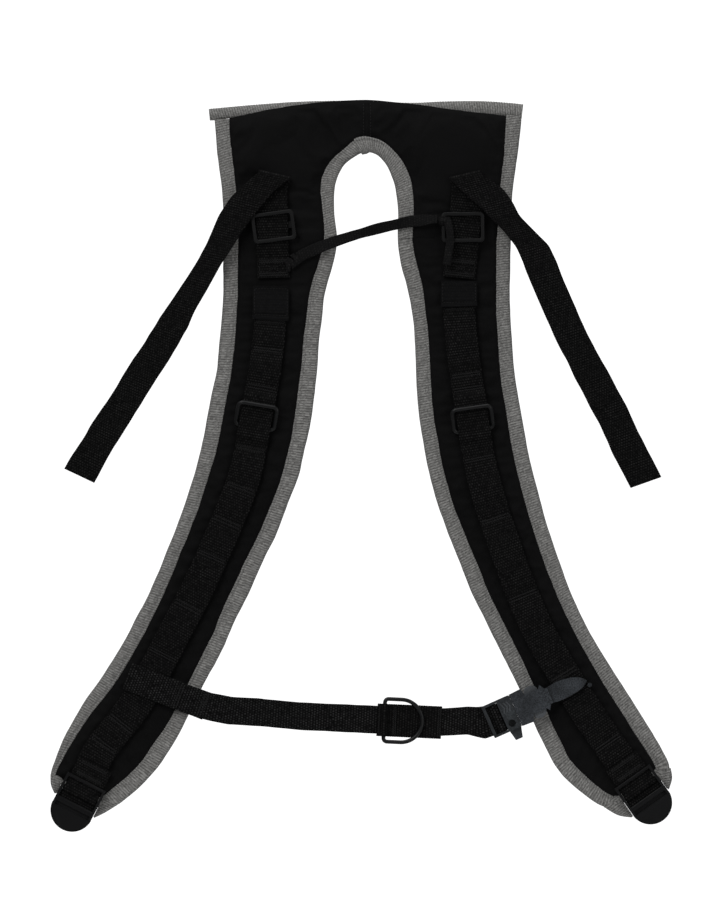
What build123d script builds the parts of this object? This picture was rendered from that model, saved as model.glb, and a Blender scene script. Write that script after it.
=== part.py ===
"""Padded shoulder harness of a breathing apparatus: yoke, two shoulder pads,
chest strap with side-release buckle and whistle, lifter straps, ladder locks.

Units are millimetres. +Z is up when worn, +X is to the viewer's right with the
harness seen from the front, and the front faces -Y. "left" and "right" in the
names are the viewer's; inner is towards the centre line. The origin lies on the
wearer's side of the yoke, on its centre line. Depths are distances in front of
that face, so depth d is the plane Y = -d.
"""

import math
import os

from build123d import *

os.makedirs("parts", exist_ok=True)

# ------------------------------------------------------------ driving dimensions
# Layers are (back, front) depths.
LAYER_GAP = 0.05  # room on either side of the foam core
LINING = (0, 2.0)  # spacer mesh on the wearer's side
COVER = (10.0, 11.0)  # face fabric
FOAM = (LINING[1] + LAYER_GAP, COVER[0] - LAYER_GAP)
BINDING = (3.2, 7.4)  # folded edge binding
TOP_BINDING = (1.0, 6.0)
SEAM = 0.15  # room between a face and its binding

WEB_HALF = 14.6  # half width of the wide webbing
CHEST_HALF = 12.5  # half width of the chest webbing
TAPE = (11.05, 12.05)  # base tape sewn to the face
PLEAT = (12.1, 13.65)  # between the tape and the ladder webbing
LADDER = (13.7, 15.1)  # ladder webbing, held off the tape
LADDER_UP = (16.2, 17.6)  # the same webbing where it passes over a ring
LADDER_TACK = (15.12, 15.57)  # thread bars on the ladder webbing
TAB = (15.2, 16.2)  # tab over the ladder's head
ANCHOR = (14.6, 16.0)  # webbing through the tri-glide
ANCHOR_TACK = (ANCHOR[1] + 0.02, ANCHOR[1] + 0.52)
TAIL = (19.3, 20.7)  # lifter strap, folded forward
CHEST = (15.2, 16.5)  # chest webbing
CORD = (12.2, 13.6)  # neck cord
CORD_END = (19.4, 20.7)  # its loose end

FOLD_Z = -144.9  # where the pads fold over the shoulders


# ------------------------------------------------------------ curves and outlines
def smooth(points, step=9.0):
    """The points joined by a smooth curve, sampled about every step."""
    curve = []
    last = len(points) - 1
    for i in range(last):
        start, end = points[i], points[i + 1]
        before, after = points[max(i - 1, 0)], points[min(i + 2, last)]
        count = max(1, round(math.dist(start, end) / step))
        for k in range(count):
            t = k / count
            curve.append(
                tuple(
                    0.5
                    * (
                        2 * b
                        + (c - a) * t
                        + (2 * a - 5 * b + 4 * c - d) * t * t
                        + (3 * b - a - 3 * c + d) * t**3
                    )
                    for a, b, c, d in zip(before, start, end, after)
                )
            )
    return curve + [points[-1]]


def shifted(points, side):
    """The open line of points moved sideways by side, to the left of its direction."""
    moved = []
    for i, (x, z) in enumerate(points):
        before, after = points[max(i - 1, 0)], points[min(i + 1, len(points) - 1)]
        dx, dz = after[0] - before[0], after[1] - before[1]
        size = math.hypot(dx, dz)
        moved.append((x - side * dz / size, z + side * dx / size))
    return moved


def to_fold(points):
    """The line with any end near the fold set exactly on it."""
    return [(x, FOLD_Z if abs(z - FOLD_Z) < 1 else z) for x, z in points]


def between(points, top, bottom):
    """The part of a falling line between two heights, with its ends cut to them."""
    kept = []
    for start, end in zip(points, points[1:]):
        for z in (top, bottom):
            if start[1] >= z > end[1]:
                t = (start[1] - z) / (start[1] - end[1])
                kept.append((start[0] + t * (end[0] - start[0]), z))
        if bottom + 0.4 < end[1] < top - 0.4:
            kept.append(end)
    return kept


def stretch(centre, half, top, bottom):
    """Outline of the webbing along a falling centre line, between two heights of that line."""
    line = between(centre, top, bottom)
    return shifted(line, half) + shifted(line, -half)[::-1]


def band(centre, half, z, reach):
    """Outline of a narrow band across the webbing, reaching as far above z as below it."""
    return stretch(centre, half, z + reach, z - reach)


# ------------------------------------------------------------ planes
def tilted(x, z, depth, degrees):
    """A plane facing the front, its own X axis turned up from +X by this many degrees."""
    angle = math.radians(degrees)
    return Plane(
        origin=(x, -depth, z), x_dir=(math.cos(angle), 0, math.sin(angle)), z_dir=(0, -1, 0)
    )


def sideways(plane, shift):
    """The plane across a tilted one: own X is the tilted plane's Y, own Y is the front."""
    return Plane(
        origin=plane.origin + plane.x_dir * shift, x_dir=plane.y_dir, z_dir=plane.x_dir
    )


def upward(plane, along, drop):
    """The plane looking along a tilted one's Y, placed along its X and down by drop."""
    return Plane(
        origin=plane.origin + plane.x_dir * along - plane.y_dir * drop,
        x_dir=plane.x_dir * -1,
        z_dir=plane.y_dir,
    )


def leaning(plane, degrees):
    """A tilted plane leant forward about its own X axis."""
    angle = math.radians(degrees)
    up = plane.y_dir * math.cos(angle) + plane.z_dir * math.sin(angle)
    return Plane(origin=plane.origin, x_dir=plane.x_dir, z_dir=plane.x_dir.cross(up))


def corner(plane, x, y):
    """(X, Z) of a point of a tilted plane."""
    point = plane.origin + plane.x_dir * x + plane.y_dir * y
    return (point.X, point.Z)


# ------------------------------------------------------------ flat solids and files
def outline(points, depth):
    """A flat face with this outline at a depth."""
    with BuildSketch(Plane.XZ.offset(depth)) as sketch:
        with BuildLine():
            Polyline(*[Vector(*point) for point in points], close=True)
        make_face()
    return sketch.sketch


def slab(points, layer):
    """Adds a flat solid that fills a layer to the part being built."""
    back, front = layer
    extrude(outline(points, back), amount=front - back)


def save(name, part):
    """Labels a piece and writes its file."""
    part.label = name
    export_step(part, f"parts/{name}.step")


def save_slabs(name, *slabs):
    """Builds and saves a piece made of flat solids, each given as (points, layer)."""
    with BuildPart() as piece:
        for points, layer in slabs:
            slab(points, layer)
    save(name, piece.part)


def save_panel(name, face):
    """The three layers of a padded panel."""
    save_slabs(f"{name}_lining", (face, LINING))
    save_slabs(f"{name}_foam", (face, FOAM))
    save_slabs(f"{name}_cover", (face, COVER))


# ------------------------------------------------------------ measured outlines
# Each point is (X, Z). _TAPE lines are the outer edges of the bindings.
TOP_EDGE = smooth([  # top edge of the yoke's face, left to right
    (-123.3, 1.1), (-104.9, 5.5), (-83.1, 10.3), (-61.2, 13.5), (-39.4, 15.8), (-17.6, 16.7),
    (4.2, 16.7), (26.0, 14.8), (47.7, 13.3), (69.7, 10.6), (91.4, 7.8), (113.2, 5.4),
    (128.5, 3.4),
])
TOP_TAPE = smooth([  # upper edge of the tape behind it
    (-141.3, 9.9), (-112.5, 12.6), (-83.7, 15.0), (-58.5, 16.8), (-18.0, 18.6), (4.5, 18.6),
    (27.0, 17.3), (47.7, 16.6), (67.5, 17.1), (103.5, 17.1), (128.7, 15.5), (143.1, 14.0),
])
TOP_TAPE_LEFT = [(-124.1, -1.2), (-141.0, 0.4)]  # lower corners of the tape's left end
TOP_TAPE_RIGHT = [(143.1, 5.4), (129.1, 3.2)]  # and of its right end
YOKE_L = smooth([  # yoke face, left side, top to fold
    (-123.7, -2.6), (-123.3, -14.4), (-121.5, -28.8), (-119.7, -43.2), (-117.9, -57.6),
    (-117.0, -72.0), (-116.1, -86.4), (-115.7, -100.8), (-115.7, -115.2), (-116.1, -129.6),
    (-116.1, -144.9),
])
YOKE_L_TAPE = smooth([
    (-135.2, -2.6), (-133.7, -14.4), (-133.2, -28.8), (-131.4, -43.2), (-129.6, -57.6),
    (-128.1, -72.0), (-127.4, -86.4), (-127.2, -100.8), (-127.2, -115.2), (-127.8, -129.6),
    (-127.6, -144.9),
])
YOKE_R = smooth([  # yoke face, right side, top to fold
    (128.7, -0.9), (127.8, -14.4), (126.9, -28.8), (125.1, -43.2), (123.3, -57.6),
    (122.4, -72.0), (121.5, -86.4), (120.6, -100.8), (119.7, -115.2), (119.7, -129.6),
    (119.7, -144.9),
])
YOKE_R_TAPE = smooth([
    (140.9, -0.9), (139.5, -14.4), (137.7, -28.8), (135.9, -43.2), (133.7, -57.6),
    (132.3, -72.0), (131.4, -86.4), (131.4, -100.8), (131.1, -115.2), (130.5, -129.6),
    (130.5, -144.9),
])
NECK = smooth([  # edge of the yoke's face around the neck, from the left fold up and over
    (-45.3, -144.9), (-40.5, -129.6), (-37.4, -117.0), (-35.1, -103.5), (-36.2, -86.1),
    (-38.2, -64.4), (-36.2, -50.1), (-28.5, -37.1), (-17.6, -27.3), (-7.8, -19.4), (4.2, -17.6),
    (15.1, -21.2), (23.9, -28.4), (32.6, -39.2), (39.1, -53.5), (41.4, -68.4), (42.0, -83.7),
    (41.1, -100.8), (41.9, -115.2), (45.0, -129.6), (48.9, -144.9),
])
NECK_TAPE = smooth([  # same way round
    (-33.5, -144.9), (-28.8, -129.6), (-25.7, -115.2), (-25.2, -103.5), (-27.4, -86.4),
    (-27.9, -72.0), (-26.1, -57.6), (-20.7, -43.2), (-13.5, -35.6), (-4.5, -30.6), (4.5, -29.3),
    (13.5, -33.8), (20.7, -43.2), (26.1, -57.6), (28.8, -72.0), (29.7, -86.4), (29.2, -100.8),
    (30.0, -115.2), (31.9, -129.6), (36.3, -144.9),
])
PAD_L_OUTER = smooth([  # left pad face, outer side, fold to tip
    (-116.1, -144.9), (-116.1, -158.4), (-117.0, -172.8), (-117.9, -187.2), (-118.8, -201.6),
    (-120.6, -216.0), (-122.4, -230.4), (-125.1, -244.8), (-127.8, -259.2), (-130.5, -273.6),
    (-133.2, -288.0), (-136.8, -302.4), (-141.3, -316.8), (-145.8, -331.2), (-150.3, -345.6),
    (-155.7, -360.0), (-161.1, -374.4), (-167.4, -388.8), (-172.8, -403.2), (-179.1, -417.6),
    (-185.4, -432.0), (-192.6, -446.4), (-199.8, -460.8), (-207.9, -475.2), (-216.0, -489.6),
    (-225.0, -504.0), (-235.8, -518.4), (-247.5, -532.8), (-257.4, -547.2), (-266.4, -561.6),
    (-274.5, -576.0), (-279.0, -585.0), (-280.4, -591.3),
])
PAD_L_OUTER_TAPE = smooth([
    (-127.6, -144.9), (-127.8, -158.4), (-128.7, -172.8), (-129.6, -187.2), (-131.4, -201.6),
    (-132.3, -216.0), (-134.1, -230.4), (-137.7, -244.8), (-140.4, -259.2), (-143.1, -273.6),
    (-145.8, -288.0), (-149.4, -302.4), (-153.0, -316.8), (-157.5, -331.2), (-162.0, -345.6),
    (-167.4, -360.0), (-172.8, -374.4), (-179.1, -388.8), (-184.5, -403.2), (-190.8, -417.6),
    (-197.1, -432.0), (-205.2, -446.4), (-212.4, -460.8), (-220.5, -475.2), (-229.5, -489.6),
    (-238.5, -504.0), (-249.3, -518.4), (-258.3, -532.8), (-266.4, -547.2), (-273.6, -561.6),
    (-279.0, -576.0), (-282.2, -585.0), (-283.1, -592.2), (-282.1, -598.0), (-279.8, -604.3),
])
PAD_L_INNER = smooth([  # left pad face, inner side, fold to tip
    (-45.3, -144.9), (-48.6, -158.4), (-50.4, -172.8), (-52.2, -187.2), (-54.0, -201.6),
    (-54.9, -216.0), (-56.7, -230.4), (-58.5, -244.8), (-60.3, -259.2), (-62.6, -273.6),
    (-64.8, -288.0), (-68.4, -302.4), (-72.0, -316.8), (-76.5, -331.2), (-82.4, -345.6),
    (-88.2, -360.0), (-94.5, -374.4), (-101.7, -388.8), (-108.9, -403.2), (-115.2, -417.6),
    (-122.4, -432.0), (-128.7, -446.4), (-134.1, -460.8), (-141.3, -475.2), (-148.5, -489.6),
    (-155.7, -504.0), (-163.8, -520.2), (-170.1, -532.8), (-178.2, -547.2), (-188.6, -561.6),
    (-198.0, -576.0), (-211.5, -590.4), (-228.6, -604.8), (-237.7, -611.8),
])
PAD_L_INNER_TAPE = smooth([
    (-33.5, -144.9), (-36.5, -158.4), (-37.8, -172.8), (-39.6, -187.2), (-41.4, -201.6),
    (-42.3, -216.0), (-43.2, -230.4), (-45.0, -244.8), (-46.8, -259.2), (-48.6, -273.6),
    (-52.2, -288.0), (-55.8, -302.4), (-58.5, -316.8), (-63.9, -331.2), (-69.3, -345.6),
    (-74.7, -360.0), (-80.1, -374.4), (-88.2, -388.8), (-94.5, -403.2), (-100.8, -417.6),
    (-107.1, -432.0), (-114.8, -446.4), (-121.5, -460.8), (-127.8, -475.2), (-135.0, -489.6),
    (-143.1, -504.0), (-151.2, -520.2), (-157.5, -532.8), (-164.7, -547.2), (-172.8, -561.6),
    (-181.8, -576.0), (-193.5, -590.4), (-207.9, -604.8), (-226.8, -619.2), (-234.5, -623.6),
    (-243.0, -627.6),
])
PAD_R_OUTER = smooth([  # right pad face, outer side, fold to tip
    (119.7, -144.9), (119.7, -158.4), (119.7, -172.8), (120.6, -187.2), (121.5, -201.6),
    (122.4, -216.0), (123.6, -230.4), (125.5, -244.8), (128.1, -259.2), (130.3, -273.6),
    (132.7, -288.0), (135.3, -302.4), (138.6, -316.8), (142.2, -331.2), (146.1, -345.6),
    (150.3, -360.0), (154.8, -374.4), (159.6, -388.8), (164.7, -403.2), (170.4, -417.6),
    (176.4, -432.0), (183.0, -446.4), (190.2, -460.8), (198.0, -475.2), (206.1, -489.6),
    (214.5, -504.0), (223.5, -518.4), (232.8, -532.8), (241.7, -547.2), (251.1, -561.6),
    (259.2, -574.2), (264.2, -584.5),
])
PAD_R_OUTER_TAPE = smooth([
    (130.5, -144.9), (130.5, -158.4), (130.8, -172.8), (131.4, -187.2), (132.3, -201.6),
    (133.5, -216.0), (135.0, -230.4), (137.1, -244.8), (139.5, -259.2), (142.2, -273.6),
    (144.9, -288.0), (147.6, -302.4), (150.8, -316.8), (154.8, -331.2), (158.4, -345.6),
    (162.3, -360.0), (166.8, -374.4), (171.9, -388.8), (177.0, -403.2), (182.2, -417.6),
    (188.1, -432.0), (194.7, -446.4), (202.1, -460.8), (210.6, -475.2), (219.6, -489.6),
    (228.6, -504.0), (238.1, -518.4), (247.1, -532.8), (256.1, -547.2), (264.6, -561.6),
    (271.8, -576.0), (275.4, -585.0), (276.2, -592.0), (275.8, -598.0), (273.8, -602.6),
])
PAD_R_INNER = smooth([  # right pad face, inner side, fold to tip
    (48.9, -144.9), (51.3, -158.4), (52.8, -172.8), (54.9, -187.2), (55.8, -201.6),
    (56.7, -216.0), (57.3, -230.4), (58.1, -244.8), (59.4, -259.2), (61.2, -273.6),
    (63.9, -288.0), (66.2, -302.4), (69.3, -316.8), (73.4, -331.2), (77.4, -345.6),
    (82.8, -360.0), (88.7, -374.4), (94.5, -388.8), (100.8, -403.2), (106.2, -417.6),
    (112.5, -432.0), (119.7, -446.4), (126.9, -460.8), (134.1, -475.2), (141.3, -489.6),
    (147.6, -504.0), (154.8, -518.4), (162.0, -532.8), (168.3, -547.2), (175.5, -561.6),
    (182.7, -576.0), (196.2, -590.4), (213.3, -604.8), (226.1, -611.6),
])
PAD_R_INNER_TAPE = smooth([
    (36.3, -144.9), (39.6, -158.4), (42.3, -172.8), (44.1, -187.2), (45.0, -201.6),
    (45.5, -216.0), (45.9, -230.4), (46.8, -244.8), (47.7, -259.2), (49.5, -273.6),
    (52.2, -288.0), (54.5, -302.4), (57.6, -316.8), (61.2, -331.2), (65.2, -345.6),
    (70.2, -360.0), (75.6, -374.4), (81.5, -388.8), (86.9, -403.2), (92.7, -417.6),
    (99.0, -432.0), (106.2, -446.4), (113.4, -460.8), (120.6, -475.2), (127.8, -489.6),
    (135.0, -504.0), (141.8, -518.4), (148.1, -532.8), (153.9, -547.2), (161.1, -561.6),
    (168.3, -576.0), (178.2, -590.4), (194.4, -604.8), (216.0, -619.2), (227.5, -625.6),
    (238.8, -627.9),
])
# binding corners at the pads' tips: beside the face, then round the tape's end
PAD_L_TIP = [(-280.6, -592.2), (-238.4, -612.6)]
PAD_L_TIP_TAPE = [(-243.9, -627.3), (-238.5, -616.9), (-273.6, -599.3), (-277.6, -604.6)]
PAD_R_TIP = [(226.4, -612.6), (264.9, -585.6)]
PAD_R_TIP_TAPE = [(273.0, -602.2), (265.1, -591.2), (231.9, -615.2), (240.1, -626.5)]
LADDER_STEP = 6  # sampling of the ladder centre lines
LADDER_L = smooth([  # centre line of the left ladder webbing
    (-84.6, -146.7), (-84.6, -162.0), (-85.0, -180.0), (-89.6, -223.2), (-97.2, -264.6),
    (-106.8, -315.0), (-117.6, -346.5), (-130.2, -376.2), (-142.7, -405.0), (-155.7, -432.0),
    (-171.9, -462.6), (-193.5, -504.0), (-211.5, -532.8), (-236.9, -564.8), (-247.0, -584.1),
], LADDER_STEP)
LADDER_R = smooth([  # centre line of the right ladder webbing
    (84.6, -146.7), (84.6, -167.4), (86.6, -198.0), (90.9, -229.5), (95.4, -260.1),
    (101.0, -297.0), (108.5, -330.3), (117.4, -359.1), (130.1, -396.0), (143.8, -432.0),
    (158.4, -464.4), (176.4, -495.0), (198.0, -530.1), (218.7, -560.7), (233.4, -581.4),
], LADDER_STEP)
TAIL_L_OUTER = smooth([  # left lifter strap, outer edge
    (-120.2, -68.9), (-131.4, -86.4), (-137.7, -100.8), (-144.0, -115.2), (-152.1, -129.6),
    (-161.1, -144.0), (-171.0, -158.4), (-180.9, -172.8), (-189.9, -187.2), (-198.9, -201.6),
    (-208.8, -216.0), (-217.8, -230.4), (-225.9, -244.8), (-235.8, -259.2), (-245.7, -273.6),
    (-253.8, -288.0), (-263.7, -302.4), (-270.4, -313.7),
])
TAIL_L_INNER = smooth([  # left lifter strap, inner edge
    (-81.9, -64.4), (-98.1, -84.2), (-108.0, -97.2), (-117.9, -113.4), (-128.7, -129.6),
    (-136.8, -144.0), (-144.9, -158.4), (-153.0, -172.8), (-159.3, -187.2), (-167.4, -201.6),
    (-175.5, -216.0), (-185.4, -230.4), (-194.4, -244.8), (-203.4, -259.2), (-212.4, -273.6),
    (-221.4, -288.0), (-230.4, -302.4), (-243.0, -326.7),
])
TAIL_R_OUTER = smooth([  # right lifter strap, outer edge
    (124.2, -62.6), (132.8, -74.7), (138.6, -86.4), (153.0, -100.8), (165.6, -113.4),
    (172.8, -129.6), (178.2, -144.0), (184.5, -158.4), (190.8, -172.8), (197.1, -187.2),
    (204.3, -201.6), (212.4, -216.0), (220.5, -230.4), (227.7, -244.8), (235.8, -259.2),
    (242.1, -273.6), (249.3, -288.0), (256.5, -302.4), (266.4, -321.3),
])
TAIL_R_INNER = smooth([  # right lifter strap, inner edge
    (93.8, -70.8), (106.1, -81.2), (114.6, -90.7), (122.4, -98.1), (129.6, -107.1),
    (135.9, -115.2), (142.2, -129.6), (147.6, -144.0), (153.9, -158.4), (160.2, -172.8),
    (166.5, -187.2), (172.8, -201.6), (180.9, -216.0), (187.2, -230.4), (195.3, -244.8),
    (202.5, -259.2), (210.6, -273.6), (216.9, -288.0), (223.2, -302.4), (231.3, -316.8),
    (238.5, -331.2),
])
CORD_TOP = smooth([  # upper edge of the neck cord, left to right
    (-63.5, -120.5), (-58.5, -116.1), (-35.1, -106.2), (-18.0, -100.8), (9.0, -93.2),
    (40.5, -86.6), (66.0, -84.5),
])
CORD_LOW = smooth([  # lower edge of the neck cord, right to left
    (66.0, -93.0), (40.5, -95.4), (17.1, -100.8), (-6.3, -107.5), (-27.9, -114.8),
    (-53.1, -125.1), (-60.0, -130.0),
])
CORD_END_SHAPE = [  # loose end of the cord
    (68.5, -89.0), (73.5, -88.0), (76.5, -89.0), (79.2, -100.0), (79.0, -112.0),
    (76.4, -131.5), (69.5, -131.0), (73.0, -110.0), (72.5, -100.0),
]

# ------------------------------------------------------------ the yoke
save_panel("yoke", TOP_EDGE + YOKE_R + NECK[::-1] + YOKE_L[::-1])

# the ribbed tape along the top edge, wider than the yoke at both ends
top_seam = shifted(TOP_EDGE, SEAM)[::-1]
save_slabs("top_binding", (TOP_TAPE_LEFT + TOP_TAPE + TOP_TAPE_RIGHT + top_seam, TOP_BINDING))

for side, face_edge, tape_edge, seam in (
    ("left", YOKE_L, YOKE_L_TAPE, -SEAM),
    ("right", YOKE_R, YOKE_R_TAPE, SEAM),
):
    seam_edge = [(x + seam, z) for x, z in face_edge]
    save_slabs(f"{side}_yoke_binding", (seam_edge + tape_edge[::-1], BINDING))

save_slabs("neck_binding", (to_fold(shifted(NECK, -SEAM)) + NECK_TAPE[::-1], BINDING))

save_slabs("neck_cord", (CORD_TOP + CORD_LOW, CORD))

# ------------------------------------------------------------ anchor webbing
# Each lifter strap is folded forward along a crease at the top of the anchor webbing.
CREASE_D = 17.65  # depth of the fold axis
LEFT_CREASE = tilted(-81.8, -51.1, CREASE_D, -12.9)
RIGHT_CREASE = tilted(90.2, -51.5, CREASE_D, 12.9)
ANCHOR_TOP = -3.6  # top of the webbing, up from the crease
ANCHORS = (  # side, crease, middle of the webbing's lower end
    ("left", LEFT_CREASE, (-82.0, -142.5)),
    ("right", RIGHT_CREASE, (84.6, -142.5)),
)
ANCHOR_SEWN = ((0, 18), (74, 82))  # stretches down to the yoke, up from the lower end
ANCHOR_PAD = (TAPE[0], ANCHOR[0])  # the layer those stretches fill
TACK_STARTS = (2.0, 14.0)  # thread bars, up from the lower end
TACK_LONG = 2.2
TACK_SCALE = 0.88  # thread bars shrunk about their middles


def anchor_outline(crease, end, low, high=None):
    """The anchor webbing between two distances above its lower end, cut square to it.

    Without a high cut it runs up to the crease.
    """
    top = corner(crease, 0, ANCHOR_TOP)
    size = math.dist(top, end)
    up_x, up_z = (top[0] - end[0]) / size, (top[1] - end[1]) / size

    def edge(up, side):
        reach = side * WEB_HALF
        return (end[0] + up * up_x + reach * up_z, end[1] + up * up_z - reach * up_x)

    if high is None:
        upper = [corner(crease, WEB_HALF, ANCHOR_TOP), corner(crease, -WEB_HALF, ANCHOR_TOP)]
    else:
        upper = [edge(high, 1), edge(high, -1)]
    return [edge(low, -1), edge(low, 1)] + upper


def shrunk(points, scale):
    """The outline scaled about the mean of its points."""
    mid_x = sum(x for x, z in points) / len(points)
    mid_z = sum(z for x, z in points) / len(points)
    return [(mid_x + scale * (x - mid_x), mid_z + scale * (z - mid_z)) for x, z in points]


# webbing from the crease down through the tri-glide, sewn to the yoke at both ends
for side, crease, end in ANCHORS:
    save_slabs(
        f"{side}_anchor_webbing",
        (anchor_outline(crease, end, 0), ANCHOR),
        *[(anchor_outline(crease, end, low, high), ANCHOR_PAD) for low, high in ANCHOR_SEWN],
    )

# thread bars on the anchor webbing, one pair each side
save_slabs(
    "yoke_bartacks",
    *[
        (shrunk(anchor_outline(crease, end, low, low + TACK_LONG), TACK_SCALE), ANCHOR_TACK)
        for side, crease, end in ANCHORS
        for low in TACK_STARTS
    ],
)

# ------------------------------------------------------------ lifter straps
CREASE_R = 3.05  # outer radius of the fold
FOLD_CUT = 0.04  # parting between the rolled fold and the flat tail, two solids
FOLD_TRIM = 1.5  # the fold falls short of the webbing's inner edge by this
FOLD_CLEAR = 6.0  # square cleared from the fold for the tail


def lifter_strap(crease, inner, outer, inner_edge, outer_edge):
    """Flat tail and rolled fold; inner and outer are the fold's ends along the crease."""
    with BuildPart() as strap:
        fold_line = [corner(crease, inner, -FOLD_CUT), corner(crease, outer, -FOLD_CUT)]
        slab(fold_line + outer_edge + inner_edge[::-1], TAIL)
        with BuildSketch(sideways(crease, min(inner, outer))):
            Circle(CREASE_R)
            with Locations((-FOLD_CLEAR / 2, TAIL[0] - CREASE_D - FOLD_CUT + FOLD_CLEAR / 2)):
                Rectangle(FOLD_CLEAR, FOLD_CLEAR, mode=Mode.SUBTRACT)
        extrude(amount=abs(outer - inner))
    return strap.part


FOLD_INNER = WEB_HALF - FOLD_TRIM
save(
    "left_lifter_strap",
    lifter_strap(LEFT_CREASE, FOLD_INNER, -WEB_HALF, TAIL_L_INNER, TAIL_L_OUTER),
)
save(
    "right_lifter_strap",
    lifter_strap(RIGHT_CREASE, -FOLD_INNER, WEB_HALF, TAIL_R_INNER, TAIL_R_OUTER),
)

# ------------------------------------------------------------ tri-glides
LEFT_GLIDE = tilted(-82.2, -96.3, 0, 7.5)
RIGHT_GLIDE = tilted(88.0, -96.8, 0, 0.5)
GLIDE_W, GLIDE_H, GLIDE_BAR = 38.4, 27.0, 3.2
GLIDE_R, GLIDE_HOLE_R = 3.6, 1.6  # frame corners, outside and inside
GLIDE_RAIL_X = (GLIDE_W - GLIDE_BAR) / 2
GLIDE_BACK = 11.9
GLIDE_FRAME_D, GLIDE_FRAME_T = 16.25, 2.75  # back and thickness of the frame
GLIDE_FOOT_H, GLIDE_FOOT_T = 13, 4.4  # feet behind the rails
GLIDE_CROSS_W, GLIDE_CROSS_H, GLIDE_CROSS_T = 34, 6, 2.5  # bar behind the webbing
GLIDE_FILLET = 0.6


def triglide(plane):
    with BuildPart() as glide:
        with BuildSketch(plane.offset(GLIDE_FRAME_D)):
            RectangleRounded(GLIDE_W, GLIDE_H, GLIDE_R)
            RectangleRounded(
                GLIDE_W - 2 * GLIDE_BAR,
                GLIDE_H - 2 * GLIDE_BAR,
                GLIDE_HOLE_R,
                mode=Mode.SUBTRACT,
            )
        extrude(amount=GLIDE_FRAME_T)
        with BuildSketch(plane.offset(GLIDE_BACK)):
            with Locations((-GLIDE_RAIL_X, 0), (GLIDE_RAIL_X, 0)):
                Rectangle(GLIDE_BAR, GLIDE_FOOT_H)
        extrude(amount=GLIDE_FOOT_T)
        with BuildSketch(plane.offset(GLIDE_BACK)):
            Rectangle(GLIDE_CROSS_W, GLIDE_CROSS_H)
        extrude(amount=GLIDE_CROSS_T)
        # straight edges of the frontmost group
        fillet(glide.edges().filter_by(GeomType.LINE).group_by(Axis.Y)[0], GLIDE_FILLET)
    return glide.part


save("left_triglide", triglide(LEFT_GLIDE))
save("right_triglide", triglide(RIGHT_GLIDE))

KNOT_AT = (-GLIDE_RAIL_X, 5.4)
KNOT = (7.4, 7.8, 1.5)  # width, height, corner radius
KNOT_SLOT = (GLIDE_BAR + 0.6, 12)  # room for the rail
KNOT_SIDES_D, KNOT_SIDES_T = 16.3, 4.5  # back and thickness, beside the rail
KNOT_FRONT_D, KNOT_FRONT_T = 19.2, 1.6  # the same, in front of the rail

# the cord's knot round the right tri-glide's inner rail, and its loose end
with BuildPart() as neck_cord_knot:
    with BuildSketch(RIGHT_GLIDE.offset(KNOT_SIDES_D)):
        with Locations(KNOT_AT):
            RectangleRounded(*KNOT)
            Rectangle(*KNOT_SLOT, mode=Mode.SUBTRACT)
    extrude(amount=KNOT_SIDES_T)
    with BuildSketch(RIGHT_GLIDE.offset(KNOT_FRONT_D)):
        with Locations(KNOT_AT):
            RectangleRounded(*KNOT)
    extrude(amount=KNOT_FRONT_T)
    slab(CORD_END_SHAPE, CORD_END)
save("neck_cord_knot", neck_cord_knot.part)


# ------------------------------------------------------------ the shoulder pads
def save_pad(side, first, first_tape, second, second_tape, tip, tip_tape):
    """Panel and binding of a pad; first is its edge at the viewer's left."""
    save_panel(side, first + second[::-1])
    face_side = to_fold(shifted(first, -SEAM)) + tip + to_fold(shifted(second, SEAM))[::-1]
    tape_side = second_tape + tip_tape + first_tape[::-1]
    save_slabs(f"{side}_binding", (face_side + tape_side, BINDING))


save_pad(
    "left", PAD_L_OUTER, PAD_L_OUTER_TAPE, PAD_L_INNER, PAD_L_INNER_TAPE,
    PAD_L_TIP, PAD_L_TIP_TAPE,
)
save_pad(
    "right", PAD_R_INNER, PAD_R_INNER_TAPE, PAD_R_OUTER, PAD_R_OUTER_TAPE,
    PAD_R_TIP, PAD_R_TIP_TAPE,
)

# ------------------------------------------------------------ ladder webbing
LADDER_TOP = -147.5
LADDER_SHORT = 1.2  # webbing ends this far above its centre line's end
TAPE_HALF = 13.4
RAISE_TOP, RAISE_LOW = -249.0, -288.5  # the raised stretch over a pad ring
STEP_LONG = 2.6  # webbing between the two levels, at either end of that stretch
STEP_HALF = WEB_HALF - 0.4
STEP = (LADDER[0], LADDER_UP[1])
PLEAT_HALF, PLEAT_REACH = 13.0, 1.7
HEAD_PLEAT = -150.5
RAISE_PLEATS = (RAISE_TOP + 7, RAISE_LOW - 7)
TACK_HALF, TACK_REACH = 12.8, 1.1
TAB_HALF = 16.2
ROWS_L = (-209.0, -318.0, -353.0, -403.0, -438.0, -480.0, -537.0, -554.0)
ROWS_R = (-209.0, -305.0, -359.0, -396.0, -440.0, -480.0, -560.0)


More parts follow.
